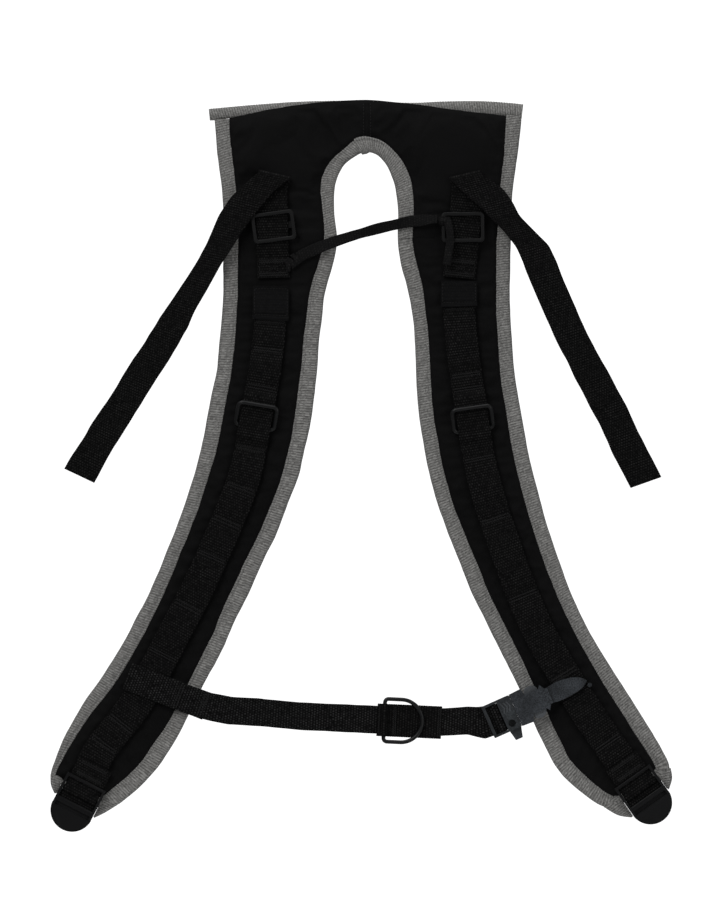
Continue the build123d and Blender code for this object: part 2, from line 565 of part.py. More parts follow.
def save_ladder(side, line, rows, tab_top, tab_low):
    """Tape, webbing, pleats, thread bars and tab; rows are the heights of the stitches."""
    end = line[-1][1] + LADDER_SHORT
    save_slabs(f"{side}_base_tape", (stretch(line, TAPE_HALF, LADDER_TOP, end), TAPE))

    upper, lower = RAISE_TOP + STEP_LONG / 2, RAISE_LOW - STEP_LONG / 2
    save_slabs(
        f"{side}_ladder_webbing",
        (stretch(line, WEB_HALF, LADDER_TOP, upper), LADDER),
        (stretch(line, WEB_HALF, upper, lower), LADDER_UP),
        (stretch(line, WEB_HALF, lower, end), LADDER),
        (stretch(line, STEP_HALF, RAISE_TOP + STEP_LONG, RAISE_TOP), STEP),
        (stretch(line, STEP_HALF, RAISE_LOW, RAISE_LOW - STEP_LONG), STEP),
    )
    # pleats that hold the ladder off its tape: at its head, under each row of stitches
    # and above and below the raised stretch
    pleats = (HEAD_PLEAT,) + rows + RAISE_PLEATS
    save_slabs(
        f"{side}_ladder_pleats",
        *[(band(line, PLEAT_HALF, z, PLEAT_REACH), PLEAT) for z in pleats],
    )
    save_slabs(
        f"{side}_bartacks",
        *[(band(line, TACK_HALF, z, TACK_REACH), LADDER_TACK) for z in rows],
    )
    # plain tab sewn over the head of the ladder
    save_slabs(f"{side}_tab", (stretch(line, TAB_HALF, tab_top, tab_low), TAB))


save_ladder("left", LADDER_L, ROWS_L, tab_top=-149.5, tab_low=-179.5)
save_ladder("right", LADDER_R, ROWS_R, tab_top=-147.5, tab_low=-167.5)

# ------------------------------------------------------------ pad rings
WIRE_R = 1.8  # wire of the pad rings and the chest ring
RING_HALF = 35.1 / 2  # half width between rail centres
RING_R = 4  # corner radius of the wire's centre line
RING_LOW_D = 14.1  # depth of the bar behind the webbing
RING_TOP_D = 19.75  # depth of the bar in front of it
RING_H = 20.5  # between the bars, up the pad
RING_LEAN = math.degrees(math.atan2(RING_TOP_D - RING_LOW_D, RING_H))
RING_LONG = math.hypot(RING_TOP_D - RING_LOW_D, RING_H)


def pad_ring(base):
    """Rounded rectangle of wire leaning forward from its lower bar, which lies on base."""
    bar_half = RING_HALF - RING_R
    with BuildPart() as ring:
        plane = leaning(base, RING_LEAN)
        with BuildLine(plane):
            low_bar = Line((-bar_half, 0), (bar_half, 0))
            turn = RadiusArc(low_bar @ 1, (RING_HALF, RING_R), -RING_R)
            rail = Line(turn @ 1, (RING_HALF, RING_LONG - RING_R))
            turn = RadiusArc(rail @ 1, (bar_half, RING_LONG), -RING_R)
            top_bar = Line(turn @ 1, (-bar_half, RING_LONG))
            turn = RadiusArc(top_bar @ 1, (-RING_HALF, RING_LONG - RING_R), -RING_R)
            rail = Line(turn @ 1, (-RING_HALF, RING_R))
            RadiusArc(rail @ 1, low_bar @ 0, -RING_R)
        start = plane.from_local_coords((-bar_half, 0, 0))
        with BuildSketch(Plane(origin=start, z_dir=plane.x_dir)):
            Circle(WIRE_R)
        sweep()
    return ring.part


save("left_ring", pad_ring(tilted(-99.3, -276.6, RING_LOW_D, -9.7)))
save("right_ring", pad_ring(tilted(98.2, -279.4, RING_LOW_D, 8.2)))

# ------------------------------------------------------------ ladder locks
LOCK_D = 13.5  # depth of the anchor bar's axis
LOCK_R, LOCK_FIT = 2.0, 0.08  # anchor bar, room in its webbing loop
RAIL_X, RAIL_T = 17.0, 2.3  # inner face and thickness of the side rails
RAIL_SIDE = [  # side of a rail: (up the strap, forward) from the anchor bar's axis
    (13.4, 5.4), (13.4, 3.1), (9.0, 2.2), (5.0, -1.0), (2.0, -1.9),
    (-18.6, -1.9), (-19.4, 0.6), (-17.5, 2.6), (-5.0, 3.4), (6.0, 5.0),
]
BAR_HALF = 17.6  # half length of the bars between the rails
LOCK_BARS = (  # (up the strap, forward) of the middle, then length, thickness, corner radius
    ((12.0, 4.2), (2.6, 2.2, 0.9)),
    ((-11.3, 0.4), (5.0, 4.4, 1.4)),
)
TONGUE_BACK, TONGUE_T = -1.4, 3.2  # plate below the rails
TONGUE_LOW, TONGUE_TIP = (19.5, -16.8), -35.1
TONGUE_TOP = (18.2, -13.2)
SLOT_BACK, SLOT_DEEP = -0.8, 4.0  # slot across the tongue, open to the front
SLOT_Y, SLOT_SIZE = -15.7, (33.6, 3.8)
HELD_BACK, HELD_T = -1.1, 1.4  # adjuster webbing held in the lock
HELD_Y, HELD_SIZE = -6.2, (33.7, 4.9)
LOOP_R, LOOP_T, LOOP_UP = 3.5, 2.7, 24.0  # webbing loop: round, doubled end, its length


def ladder_lock(plane):
    low_x, low_y = TONGUE_LOW
    top_x, top_y = TONGUE_TOP
    with BuildPart() as lock:
        for shift in (-RAIL_X - RAIL_T, RAIL_X):
            with BuildSketch(sideways(plane, shift)):
                with BuildLine():
                    Polyline(*RAIL_SIDE, close=True)
                make_face()
            extrude(amount=RAIL_T)
        with BuildSketch(sideways(plane, -BAR_HALF)):
            Circle(LOCK_R)
        extrude(amount=2 * BAR_HALF)
        for middle, size in LOCK_BARS:
            with BuildSketch(sideways(plane, -BAR_HALF)):
                with Locations(middle):
                    RectangleRounded(*size)
            extrude(amount=2 * BAR_HALF)
        with BuildSketch(plane.offset(TONGUE_BACK)):
            with BuildLine():
                Polyline((-low_x, low_y), (-top_x, top_y), (top_x, top_y), (low_x, low_y))
                ThreePointArc((low_x, low_y), (0, TONGUE_TIP), (-low_x, low_y))
            make_face()
        extrude(amount=TONGUE_T)
        with BuildSketch(plane.offset(SLOT_BACK)):
            with Locations((0, SLOT_Y)):
                Rectangle(*SLOT_SIZE)
        extrude(amount=SLOT_DEEP, mode=Mode.SUBTRACT)
    return lock.part


def lock_webbing(plane):
    """End of the adjuster webbing, held in a lock between its two lower bars."""
    with BuildPart() as webbing:
        with BuildSketch(plane.offset(HELD_BACK)):
            with Locations((0, HELD_Y)):
                Rectangle(*HELD_SIZE)
        extrude(amount=HELD_T)
    return webbing.part


def lock_loop(plane):
    """Webbing loop round the anchor bar, doubled back and sewn at the pad's tip."""
    with BuildPart() as loop:
        with BuildSketch(sideways(plane, -WEB_HALF)):
            Circle(LOOP_R)
            with Locations((LOOP_UP / 2, 0)):
                Rectangle(LOOP_UP, LOOP_T)
            Circle(LOCK_R + LOCK_FIT, mode=Mode.SUBTRACT)
        extrude(amount=2 * WEB_HALF)
    return loop.part


for side, plane in (
    ("left", tilted(-256.0, -606.8, LOCK_D, -27.35)),
    ("right", tilted(247.5, -601.3, LOCK_D, 35.45)),
):
    save(f"{side}_ladder_lock", ladder_lock(plane))
    save(f"{side}_lock_webbing", lock_webbing(plane))
    save(f"{side}_lock_loop", lock_loop(plane))

# ------------------------------------------------------------ chest strap
BUCKLE_D = 16.5  # depth of the buckle's middle
BUCKLE = tilted(135.2, -531.0, BUCKLE_D, 24.0)  # its axis rises to the right
CHEST_LOOP = tilted(-195.5, -507.15, 0, -21.0)
STRAP = tilted(40.05, -540.7, (CHEST[0] + CHEST[1]) / 2, -2.62)
CROSSBAR = -16.2  # along the buckle, from the mating line

LOOP_BACK = (12.15, 13.55)  # webbing behind the left ladder
LOOP_START = -18.4  # stations along the loop
LOOP_BEND = 20.0
LOOP_MEET = 54.0
LOOP_END = 60.0
LOOP_SLOT = 33.8  # room for the ladder
RUN_TOP = (  # straight run to the plug: (frame, distance along it), upper edge
    (CHEST_LOOP, LOOP_MEET), (STRAP, -170), (STRAP, 58), (BUCKLE, -28.3), (BUCKLE, -18.8),
)
RUN_LOW = (  # lower edge, coming back
    (BUCKLE, -18.8), (BUCKLE, -28.3), (STRAP, 68), (STRAP, -178), (CHEST_LOOP, LOOP_MEET),
)
TURN_R, TURN_HOLE_R, TURN_HOLE_HALF = 3.05, 1.7, 14  # webbing round the plug's crossbar

with BuildPart() as chest_webbing:
    # loop round the left ladder, its end sewn back to the strap
    with BuildSketch(
        Plane(
            origin=CHEST_LOOP.origin + CHEST_LOOP.y_dir * CHEST_HALF,
            x_dir=CHEST_LOOP.x_dir,
            z_dir=CHEST_LOOP.y_dir * -1,
        )
    ):
        with BuildLine():
            Polyline(
                (LOOP_START, LOOP_BACK[0]),
                (LOOP_BEND, LOOP_BACK[0]),
                (LOOP_MEET, CHEST[0]),
                (LOOP_END, CHEST[0]),
                (LOOP_END, CHEST[1]),
                (LOOP_START, CHEST[1]),
                close=True,
            )
        make_face()
        with Locations((0, (LOOP_BACK[1] + CHEST[0]) / 2)):
            Rectangle(LOOP_SLOT, CHEST[0] - LOOP_BACK[1], mode=Mode.SUBTRACT)
    extrude(amount=2 * CHEST_HALF)
    # the straight run to the plug
    slab(
        [corner(frame, along, CHEST_HALF) for frame, along in RUN_TOP]
        + [corner(frame, along, -CHEST_HALF) for frame, along in RUN_LOW],
        CHEST,
    )
    # turned round the plug's crossbar
    with BuildSketch(upward(BUCKLE, CROSSBAR, CHEST_HALF)):
        Circle(TURN_R)
    extrude(amount=2 * CHEST_HALF)
    with BuildSketch(upward(BUCKLE, CROSSBAR, TURN_HOLE_HALF)):
        Circle(TURN_HOLE_R)
    extrude(amount=2 * TURN_HOLE_HALF, mode=Mode.SUBTRACT)
save("chest_webbing", chest_webbing.part)

KEEPER_L, KEEPER_H, KEEPER_T = 58.4, 29.2, 4.0
KEEPER_HOLE_H, KEEPER_HOLE_T = 25.8, 1.7
POCKET_R, POCKET_FIT = 3.1, 0.08  # pocket for the ring's straight bar
# the chest ring's plane, its straight bar on the Y axis
CHEST_RING = Plane(
    origin=STRAP.origin + STRAP.x_dir * -22.8 + STRAP.z_dir * 4.1,
    x_dir=STRAP.x_dir,
    z_dir=STRAP.z_dir,
)

# webbing sleeve on the chest strap, with its pocket
with BuildPart() as chest_keeper:
    with BuildSketch(STRAP.offset(-KEEPER_T / 2)):
        Rectangle(KEEPER_L, KEEPER_H)
    extrude(amount=KEEPER_T)
    with BuildSketch(STRAP.offset(-KEEPER_HOLE_T / 2)):
        Rectangle(KEEPER_L + 2, KEEPER_HOLE_H)
    extrude(amount=KEEPER_HOLE_T, mode=Mode.SUBTRACT)
    with BuildSketch(upward(CHEST_RING, 0, KEEPER_H / 2)):
        Circle(POCKET_R)
        Circle(WIRE_R + POCKET_FIT, mode=Mode.SUBTRACT)
    extrude(amount=KEEPER_H)
save("chest_keeper", chest_keeper.part)

BOW_R = 19.2  # half height of the D-shaped ring, and radius of its round end
BOW_X = 15.0  # centre of the round end, from the straight bar
BOW_CORNER = 3.2

with BuildPart() as chest_ring:
    with BuildLine(CHEST_RING):
        bar = Line((0, BOW_CORNER - BOW_R), (0, BOW_R - BOW_CORNER))
        turn = RadiusArc(bar @ 1, (BOW_CORNER, BOW_R), BOW_CORNER)
        side_wire = Line(turn @ 1, (BOW_X, BOW_R))
        bow = ThreePointArc(side_wire @ 1, (BOW_X + BOW_R, 0), (BOW_X, -BOW_R))
        side_wire = Line(bow @ 1, (BOW_CORNER, -BOW_R))
        RadiusArc(side_wire @ 1, bar @ 0, BOW_CORNER)
    bar_start = CHEST_RING.from_local_coords((0, BOW_CORNER - BOW_R, 0))
    with BuildSketch(Plane(origin=bar_start, z_dir=CHEST_RING.y_dir)):
        Circle(WIRE_R)
    sweep()
save("chest_ring", chest_ring.part)

# ------------------------------------------------------------ side-release buckle
# Places are (along the buckle from the mating line, across it); backs are offsets
# from the buckle's middle plane, and + is to the front.
BUCKLE_HALF = 15.3
BUCKLE_T = 5.0  # half thickness
PIVOT_X, PIVOT_Y = -1.6, 9.6  # root of a latch arm
ARM_T = 2.6  # half thickness of the arms

BLOCK_X, BLOCK_L, BLOCK_R = -6.49, 12.92, 1.6
SIDE_AT, SIDE_SIZE = (-19.1, 14.2), (16.0, 2.2, 0.9)  # side rails: length, width, corner
SIDE_BACK, SIDE_T = -4.0, 8.2
RIM_X, RIM_L, RIM_R = -25.7, 2.8, 1.2
RIM_BACK, RIM_T = 1.4, 2.8
CROSSBAR_R, CROSSBAR_HALF = 1.6, 14.5
MOUTH = [(-12.4, -14.6), (-10.4, -24.6), (-3.7, -24.6), (-0.9, -14.6)]
MOUTH_T = 2.6  # half thickness of the mouthpiece
GUIDE = [(-1, -3.2), (20, -3.2), (24, -1.6), (24, 1.6), (20, 3.2), (-1, 3.2)]
CHAMBER_AT, CHAMBER_R = (-7.4, -9.1), 3.3
CHAMBER_BACK, CHAMBER_DEEP = -1.5, 8
BLOW_AT, BLOW_SIZE = (-7.2, -18), (4.2, 15)
BLOW_BACK, BLOW_T = -1.3, 2.4
SEAT_R, SEAT_FIT = 1.7, 0.2  # seat of a latch arm, room behind and in front of it
SWING_X, SWING_SIZE = 1.0, (5.2, 3.3)

with BuildPart() as plug:
    # block, side rails and front rim
    with BuildSketch(BUCKLE.offset(-BUCKLE_T)):
        with Locations((BLOCK_X, 0)):
            RectangleRounded(BLOCK_L, 2 * BUCKLE_HALF, BLOCK_R)
    extrude(amount=2 * BUCKLE_T)
    with BuildSketch(BUCKLE.offset(SIDE_BACK)):
        with Locations(SIDE_AT, (SIDE_AT[0], -SIDE_AT[1])):
            RectangleRounded(*SIDE_SIZE)
    extrude(amount=SIDE_T)
    with BuildSketch(BUCKLE.offset(RIM_BACK)):
        with Locations((RIM_X, 0)):
            RectangleRounded(RIM_L, 2 * BUCKLE_HALF, RIM_R)
    extrude(amount=RIM_T)
    # crossbar for the webbing
    with BuildSketch(upward(BUCKLE, CROSSBAR, CROSSBAR_HALF)):
        Circle(CROSSBAR_R)
    extrude(amount=2 * CROSSBAR_HALF)
    # whistle mouthpiece, then centre guide
    for shape, half_thick in ((MOUTH, MOUTH_T), (GUIDE, ARM_T)):
        with BuildSketch(BUCKLE.offset(-half_thick)):
            with BuildLine():
                Polyline(*shape, close=True)
            make_face()
        extrude(amount=2 * half_thick)
    # whistle chamber, open to the front, and its blowing slot
    with BuildSketch(BUCKLE.offset(CHAMBER_BACK)):
        with Locations(CHAMBER_AT):
            Circle(CHAMBER_R)
    extrude(amount=CHAMBER_DEEP, mode=Mode.SUBTRACT)
    with BuildSketch(BUCKLE.offset(BLOW_BACK)):
        with Locations(BLOW_AT):
            Rectangle(*BLOW_SIZE)
    extrude(amount=BLOW_T, mode=Mode.SUBTRACT)
    # round seats for the latch arms, with room for them to swing inward
    with BuildSketch(BUCKLE.offset(-ARM_T - SEAT_FIT)):
        with Locations((PIVOT_X, PIVOT_Y), (PIVOT_X, -PIVOT_Y)):
            Circle(SEAT_R)
        with Locations((SWING_X, PIVOT_Y), (SWING_X, -PIVOT_Y)):
            Rectangle(*SWING_SIZE)
    extrude(amount=2 * (ARM_T + SEAT_FIT), mode=Mode.SUBTRACT)
save("plug", plug.part)

CHEVRON_STARTS = (-11.0, -8.2, -5.4)
CHEVRON_W = 1.1  # stroke width along the buckle
CHEVRON_POINT = 2.0  # how far the point leads the ends
CHEVRON_LOW, CHEVRON_MID, CHEVRON_HIGH = 1.6, 6.2, 10.8
CHEVRON_GAP, CHEVRON_T = 0.02, 0.5

# raised chevrons on the plug's block, pointing into the socket
with BuildPart() as plug_chevrons:
    with BuildSketch(BUCKLE.offset(BUCKLE_T + CHEVRON_GAP)):
        for along in CHEVRON_STARTS:
            with BuildLine():
                Polyline(
                    (along, CHEVRON_HIGH),
                    (along + CHEVRON_W, CHEVRON_HIGH),
                    (along + CHEVRON_W + CHEVRON_POINT, CHEVRON_MID),
                    (along + CHEVRON_W, CHEVRON_LOW),
                    (along, CHEVRON_LOW),
                    (along + CHEVRON_POINT, CHEVRON_MID),
                    close=True,
                )
            make_face()
    extrude(amount=CHEVRON_T)
save("plug_chevrons", plug_chevrons.part)

LATCH_R = 1.62  # round root of an arm
ROOT_HALF = 1.2  # half width of the arm at its root
LATCH = [  # arm and button, for the upper side
    (PIVOT_X, PIVOT_Y - ROOT_HALF), (13.0, 9.0), (14.2, 8.2), (24.6, 8.6), (25.8, 10.4),
    (24.4, 13.4), (20.4, 15.3), (16.0, 15.0), (13.8, 13.2), (13.6, 11.2),
    (PIVOT_X, PIVOT_Y + ROOT_HALF),
]


def latch(side):
    """Latch arm and its button, for the upper (1) or lower (-1) side."""
    with BuildPart() as arm:
        with BuildSketch(BUCKLE.offset(-ARM_T)):
            with BuildLine():
                Polyline(*[(x, side * y) for x, y in LATCH], close=True)
            make_face()
            with Locations((PIVOT_X, side * PIVOT_Y)):
                Circle(LATCH_R)
        extrude(amount=2 * ARM_T)
    return arm.part


save("upper_latch", latch(1))
save("lower_latch", latch(-1))

SOCKET_LOW = [  # lower half of the socket's outline, mouth to tail
    (0.02, -BUCKLE_HALF), (11.5, -15.9), (13.2, -9.6), (26.6, -9.6), (28.6, -12.4),
    (31.5, -7.6), (34.0, -7.2),
]
CAVITY_X, CAVITY_SIZE, CAVITY_T = 13, (27.4, 27.0), 3.0  # T is half its thickness
LEAF_LOW, LEAF_HIGH, LEAF_TIP = (32, -6.9), (32, 7.0), (69.5, -1.4)
LEAF_BACK, LEAF_T = -1.0, 2.4
REAR_LEAF_X, REAR_LEAF_SIZE = 49, (34, 12.4, 2.4)  # length, width, corner radius
REAR_LEAF_BACK, REAR_LEAF_T = -4.3, 1.3

with BuildPart() as socket:
    with BuildSketch(BUCKLE.offset(-BUCKLE_T)):
        with BuildLine():
            Polyline(*SOCKET_LOW, *[(x, -y) for x, y in SOCKET_LOW[::-1]], close=True)
        make_face()
    extrude(amount=2 * BUCKLE_T)
    # mouth and cavity
    with BuildSketch(BUCKLE.offset(-CAVITY_T)):
        with Locations((CAVITY_X, 0)):
            Rectangle(*CAVITY_SIZE)
    extrude(amount=2 * CAVITY_T, mode=Mode.SUBTRACT)
    # leaf in front of the ladder webbing
    with BuildSketch(BUCKLE.offset(LEAF_BACK)):
        with BuildLine():
            Line(LEAF_LOW, LEAF_HIGH)
            Spline(LEAF_HIGH, (42, 8.4), (55, 7.3), (66, 2.6), LEAF_TIP)
            Spline(LEAF_TIP, (64.5, -5.2), (54, -7.6), (42, -8.4), LEAF_LOW)
        make_face()
    extrude(amount=LEAF_T)
    # leaf behind it
    with BuildSketch(BUCKLE.offset(REAR_LEAF_BACK)):
        with Locations((REAR_LEAF_X, 0)):
            RectangleRounded(*REAR_LEAF_SIZE)
    extrude(amount=REAR_LEAF_T)
save("socket", socket.part)

STUD_AT, STUD_R = (70.2, -6.2), 2.0
STUD_BACK_D, STUD_T = 15.13, 1.6  # depth of its back, thickness

with BuildPart() as socket_stud:
    with BuildSketch(BUCKLE.offset(STUD_BACK_D - BUCKLE_D)):
        with Locations(STUD_AT):
            Circle(STUD_R)
    extrude(amount=STUD_T)
save("socket_stud", socket_stud.part)
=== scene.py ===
"""Looks of a breathing apparatus harness: a padded yoke that folds over into two long pads,
with grey edge tapes, black webbing, moulded hardware and a chest strap.

The frame: X runs across the harness with left at -X, Z is up and the front looks to -Y.
Lengths are in millimetres and are turned into metres when a mesh is made. Depth is the
distance in front of the wearer's face of the yoke, so a depth d lies in the plane Y = -d.
"""

import math
from collections import Counter

import bmesh
import bpy
import numpy as np
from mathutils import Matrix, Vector
from mathutils.geometry import delaunay_2d_cdt

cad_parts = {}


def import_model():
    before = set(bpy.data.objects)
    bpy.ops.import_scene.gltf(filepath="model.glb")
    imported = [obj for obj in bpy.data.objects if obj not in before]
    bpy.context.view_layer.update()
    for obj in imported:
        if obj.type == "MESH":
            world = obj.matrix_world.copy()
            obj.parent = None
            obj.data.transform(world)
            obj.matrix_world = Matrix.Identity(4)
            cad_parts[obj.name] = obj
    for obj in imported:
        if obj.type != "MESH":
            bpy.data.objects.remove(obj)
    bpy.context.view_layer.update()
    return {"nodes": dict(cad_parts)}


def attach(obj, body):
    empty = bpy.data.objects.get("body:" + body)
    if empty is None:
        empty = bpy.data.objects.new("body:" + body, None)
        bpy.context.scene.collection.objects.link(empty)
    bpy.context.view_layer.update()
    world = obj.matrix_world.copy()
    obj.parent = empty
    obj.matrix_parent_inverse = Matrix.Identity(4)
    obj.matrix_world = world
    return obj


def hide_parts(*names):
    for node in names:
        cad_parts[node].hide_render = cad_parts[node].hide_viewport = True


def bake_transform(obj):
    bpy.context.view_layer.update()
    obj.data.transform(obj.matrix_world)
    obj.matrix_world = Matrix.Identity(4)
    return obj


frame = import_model()

MM = 0.001
SIDES = ("left", "right")
FRONT = np.array([0, -1.0, 0])
FOLD_Z = -144.9
FOLD_HALF = 25.0  # half height of the fabric that bends at the fold
SPLIT_Z = -106.0  # the yoke's padding ends here and the pads' begins
STATION_PITCH = 14.4  # height between most stations of the outlines

WEB_HALF = 14.6  # half width of the main webbing
WEB_THICK = 1.4
WEB_PITCH = 2.2  # from rib to rib
WEB_STEP = 0.55  # between mesh stations along a webbing


# ------------------------------------------------------------ design outlines, rows of (X, Z)
def down(z, *xs):
    """Stations with these X values, one every STATION_PITCH down from height z."""
    return [(x, round(z - STATION_PITCH * k, 1)) for k, x in enumerate(xs)]


TOP_EDGE = [  # top edge of the yoke's face, left to right
    (-123.3, 1.1), (-104.9, 5.5), (-83.1, 10.3), (-61.2, 13.5), (-39.4, 15.8), (-17.6, 16.7),
    (4.2, 16.7), (26.0, 14.8), (47.7, 13.3), (69.7, 10.6), (91.4, 7.8), (113.2, 5.4),
    (128.5, 3.4),
]
TOP_TAPE = [  # upper edge of the tape behind it
    (-141.3, 9.9), (-112.5, 12.6), (-83.7, 15.0), (-58.5, 16.8), (-18.0, 18.6), (4.5, 18.6),
    (27.0, 17.3), (47.7, 16.6), (67.5, 17.1), (103.5, 17.1), (128.7, 15.5), (143.1, 14.0),
]
# sides of the yoke's face from top to fold, and the outer edges of their binding
YOKE_L = [
    (-123.7, -2.6),
    *down(-14.4, -123.3, -121.5, -119.7, -117.9, -117.0, -116.1, -115.7, -115.7, -116.1),
    (-116.1, FOLD_Z),
]
YOKE_L_TAPE = [
    (-135.2, -2.6),
    *down(-14.4, -133.7, -133.2, -131.4, -129.6, -128.1, -127.4, -127.2, -127.2, -127.8),
    (-127.6, FOLD_Z),
]
YOKE_R = [
    (128.7, -0.9),
    *down(-14.4, 127.8, 126.9, 125.1, 123.3, 122.4, 121.5, 120.6, 119.7, 119.7),
    (119.7, FOLD_Z),
]
YOKE_R_TAPE = [
    (140.9, -0.9),
    *down(-14.4, 139.5, 137.7, 135.9, 133.7, 132.3, 131.4, 131.4, 131.1, 130.5),
    (130.5, FOLD_Z),
]
NECK = [  # edge of the yoke's face around the neck, from the left fold up and over
    (-45.3, -144.9), (-40.5, -129.6), (-37.4, -117.0), (-35.1, -103.5), (-36.2, -86.1),
    (-38.2, -64.4), (-36.2, -50.1), (-28.5, -37.1), (-17.6, -27.3), (-7.8, -19.4), (4.2, -17.6),
    (15.1, -21.2), (23.9, -28.4), (32.6, -39.2), (39.1, -53.5), (41.4, -68.4), (42.0, -83.7),
    (41.1, -100.8), (41.9, -115.2), (45.0, -129.6), (48.9, -144.9),
]
NECK_TAPE = [  # edge of the neck binding, same way round
    (-33.5, -144.9), (-28.8, -129.6), (-25.7, -115.2), (-25.2, -103.5), (-27.4, -86.4),
    (-27.9, -72.0), (-26.1, -57.6), (-20.7, -43.2), (-13.5, -35.6), (-4.5, -30.6), (4.5, -29.3),
    (13.5, -33.8), (20.7, -43.2), (26.1, -57.6), (28.8, -72.0), (29.7, -86.4), (29.2, -100.8),
    (30.0, -115.2), (31.9, -129.6), (36.3, -144.9),
]
# pad faces from fold to tip: A is the outer side and B the inner, each with its binding's edge
PAD_L_A = [
    (-116.1, FOLD_Z),
    *down(-158.4, -116.1, -117.0, -117.9, -118.8, -120.6, -122.4, -125.1, -127.8, -130.5, -133.2,
          -136.8, -141.3, -145.8, -150.3, -155.7, -161.1, -167.4, -172.8, -179.1, -185.4, -192.6,
          -199.8, -207.9, -216.0, -225.0, -235.8, -247.5, -257.4, -266.4, -274.5),
    (-279.0, -585.0), (-280.4, -591.3),
]
PAD_L_A_TAPE = [
    (-127.6, FOLD_Z),
    *down(-158.4, -127.8, -128.7, -129.6, -131.4, -132.3, -134.1, -137.7, -140.4, -143.1, -145.8,
          -149.4, -153.0, -157.5, -162.0, -167.4, -172.8, -179.1, -184.5, -190.8, -197.1, -205.2,
          -212.4, -220.5, -229.5, -238.5, -249.3, -258.3, -266.4, -273.6, -279.0),
    (-282.2, -585.0), (-283.1, -592.2),
]
PAD_L_B = [
    (-45.3, FOLD_Z),
    *down(-158.4, -48.6, -50.4, -52.2, -54.0, -54.9, -56.7, -58.5, -60.3, -62.6, -64.8, -68.4,
          -72.0, -76.5, -82.4, -88.2, -94.5, -101.7, -108.9, -115.2, -122.4, -128.7, -134.1,
          -141.3, -148.5, -155.7),
    (-163.8, -520.2),
    *down(-532.8, -170.1, -178.2, -188.6, -198.0, -211.5, -228.6),
    (-237.7, -611.8),
]
PAD_L_B_TAPE = [
    (-33.5, FOLD_Z),
    *down(-158.4, -36.5, -37.8, -39.6, -41.4, -42.3, -43.2, -45.0, -46.8, -48.6, -52.2, -55.8,
          -58.5, -63.9, -69.3, -74.7, -80.1, -88.2, -94.5, -100.8, -107.1, -114.8, -121.5,
          -127.8, -135.0, -143.1),
    (-151.2, -520.2),
    *down(-532.8, -157.5, -164.7, -172.8, -181.8, -193.5, -207.9, -226.8),
    (-235.3, -619.2),
]
PAD_R_A = [
    (119.7, FOLD_Z),
    *down(-158.4, 119.7, 119.7, 120.6, 121.5, 122.4, 123.6, 125.5, 128.1, 130.3, 132.7, 135.3,
          138.6, 142.2, 146.1, 150.3, 154.8, 159.6, 164.7, 170.4, 176.4, 183.0, 190.2, 198.0,
          206.1, 214.5, 223.5, 232.8, 241.7, 251.1),
    (259.2, -574.2), (264.2, -584.5),
]
PAD_R_A_TAPE = [
    (130.5, FOLD_Z),
    *down(-158.4, 130.5, 130.8, 131.4, 132.3, 133.5, 135.0, 137.1, 139.5, 142.2, 144.9, 147.6,
          150.8, 154.8, 158.4, 162.3, 166.8, 171.9, 177.0, 182.2, 188.1, 194.7, 202.1, 210.6,
          219.6, 228.6, 238.1, 247.1, 256.1, 264.6, 271.8),
    (275.4, -585.0), (272.2, -591.3),
]
PAD_R_B = [
    (48.9, FOLD_Z),
    *down(-158.4, 51.3, 52.8, 54.9, 55.8, 56.7, 57.3, 58.1, 59.4, 61.2, 63.9, 66.2, 69.3, 73.4,
          77.4, 82.8, 88.7, 94.5, 100.8, 106.2, 112.5, 119.7, 126.9, 134.1, 141.3, 147.6, 154.8,
          162.0, 168.3, 175.5, 182.7, 196.2, 213.3),
    (226.1, -611.6),
]
PAD_R_B_TAPE = [
    (36.3, FOLD_Z),
    *down(-158.4, 39.6, 42.3, 44.1, 45.0, 45.5, 45.9, 46.8, 47.7, 49.5, 52.2, 54.5, 57.6, 61.2,
          65.2, 70.2, 75.6, 81.5, 86.9, 92.7, 99.0, 106.2, 113.4, 120.6, 127.8, 135.0, 141.8,
          148.1, 153.9, 161.1, 168.3, 178.2, 194.4, 216.0),
    (226.8, -617.4),
]
TIP_L = [(-237.7, -611.8), (-259.0, -601.8), (-280.4, -591.3)]  # pad ends, at the ladder locks
TIP_R = [(264.2, -584.5), (245.0, -598.2), (226.1, -611.6)]
LADDER = {  # centre lines of the ladder webbings, downwards
    "left": [
        (-84.6, -146.7), (-84.6, -162.0), (-85.0, -180.0), (-89.6, -223.2), (-97.2, -264.6),
        (-106.8, -315.0), (-117.6, -346.5), (-130.2, -376.2), (-142.7, -405.0),
        (-155.7, -432.0), (-171.9, -462.6), (-193.5, -504.0), (-211.5, -532.8),
        (-236.9, -564.8), (-247.0, -584.1),
    ],
    "right": [
        (84.6, -146.7), (84.6, -167.4), (86.6, -198.0), (90.9, -229.5), (95.4, -260.1),
        (101.0, -297.0), (108.5, -330.3), (117.4, -359.1), (130.1, -396.0), (143.8, -432.0),
        (158.4, -464.4), (176.4, -495.0), (198.0, -530.1), (218.7, -560.7), (233.4, -581.4),
    ],
}
LIFTER_OUTER = {  # outer edges of the lifter straps, downwards
    "left": [
        (-120.2, -68.9),
        *down(-86.4, -131.4, -137.7, -144.0, -152.1, -161.1, -171.0, -180.9, -189.9, -198.9,
              -208.8, -217.8, -225.9, -235.8, -245.7, -253.8, -263.7),
        (-270.4, -313.7),
    ],
    "right": [
        (124.2, -62.6), (132.8, -74.7), (138.6, -86.4), (153.0, -100.8), (165.6, -113.4),
        *down(-129.6, 172.8, 178.2, 184.5, 190.8, 197.1, 204.3, 212.4, 220.5, 227.7, 235.8,
              242.1, 249.3, 256.5),
        (266.4, -321.3),
    ],
}
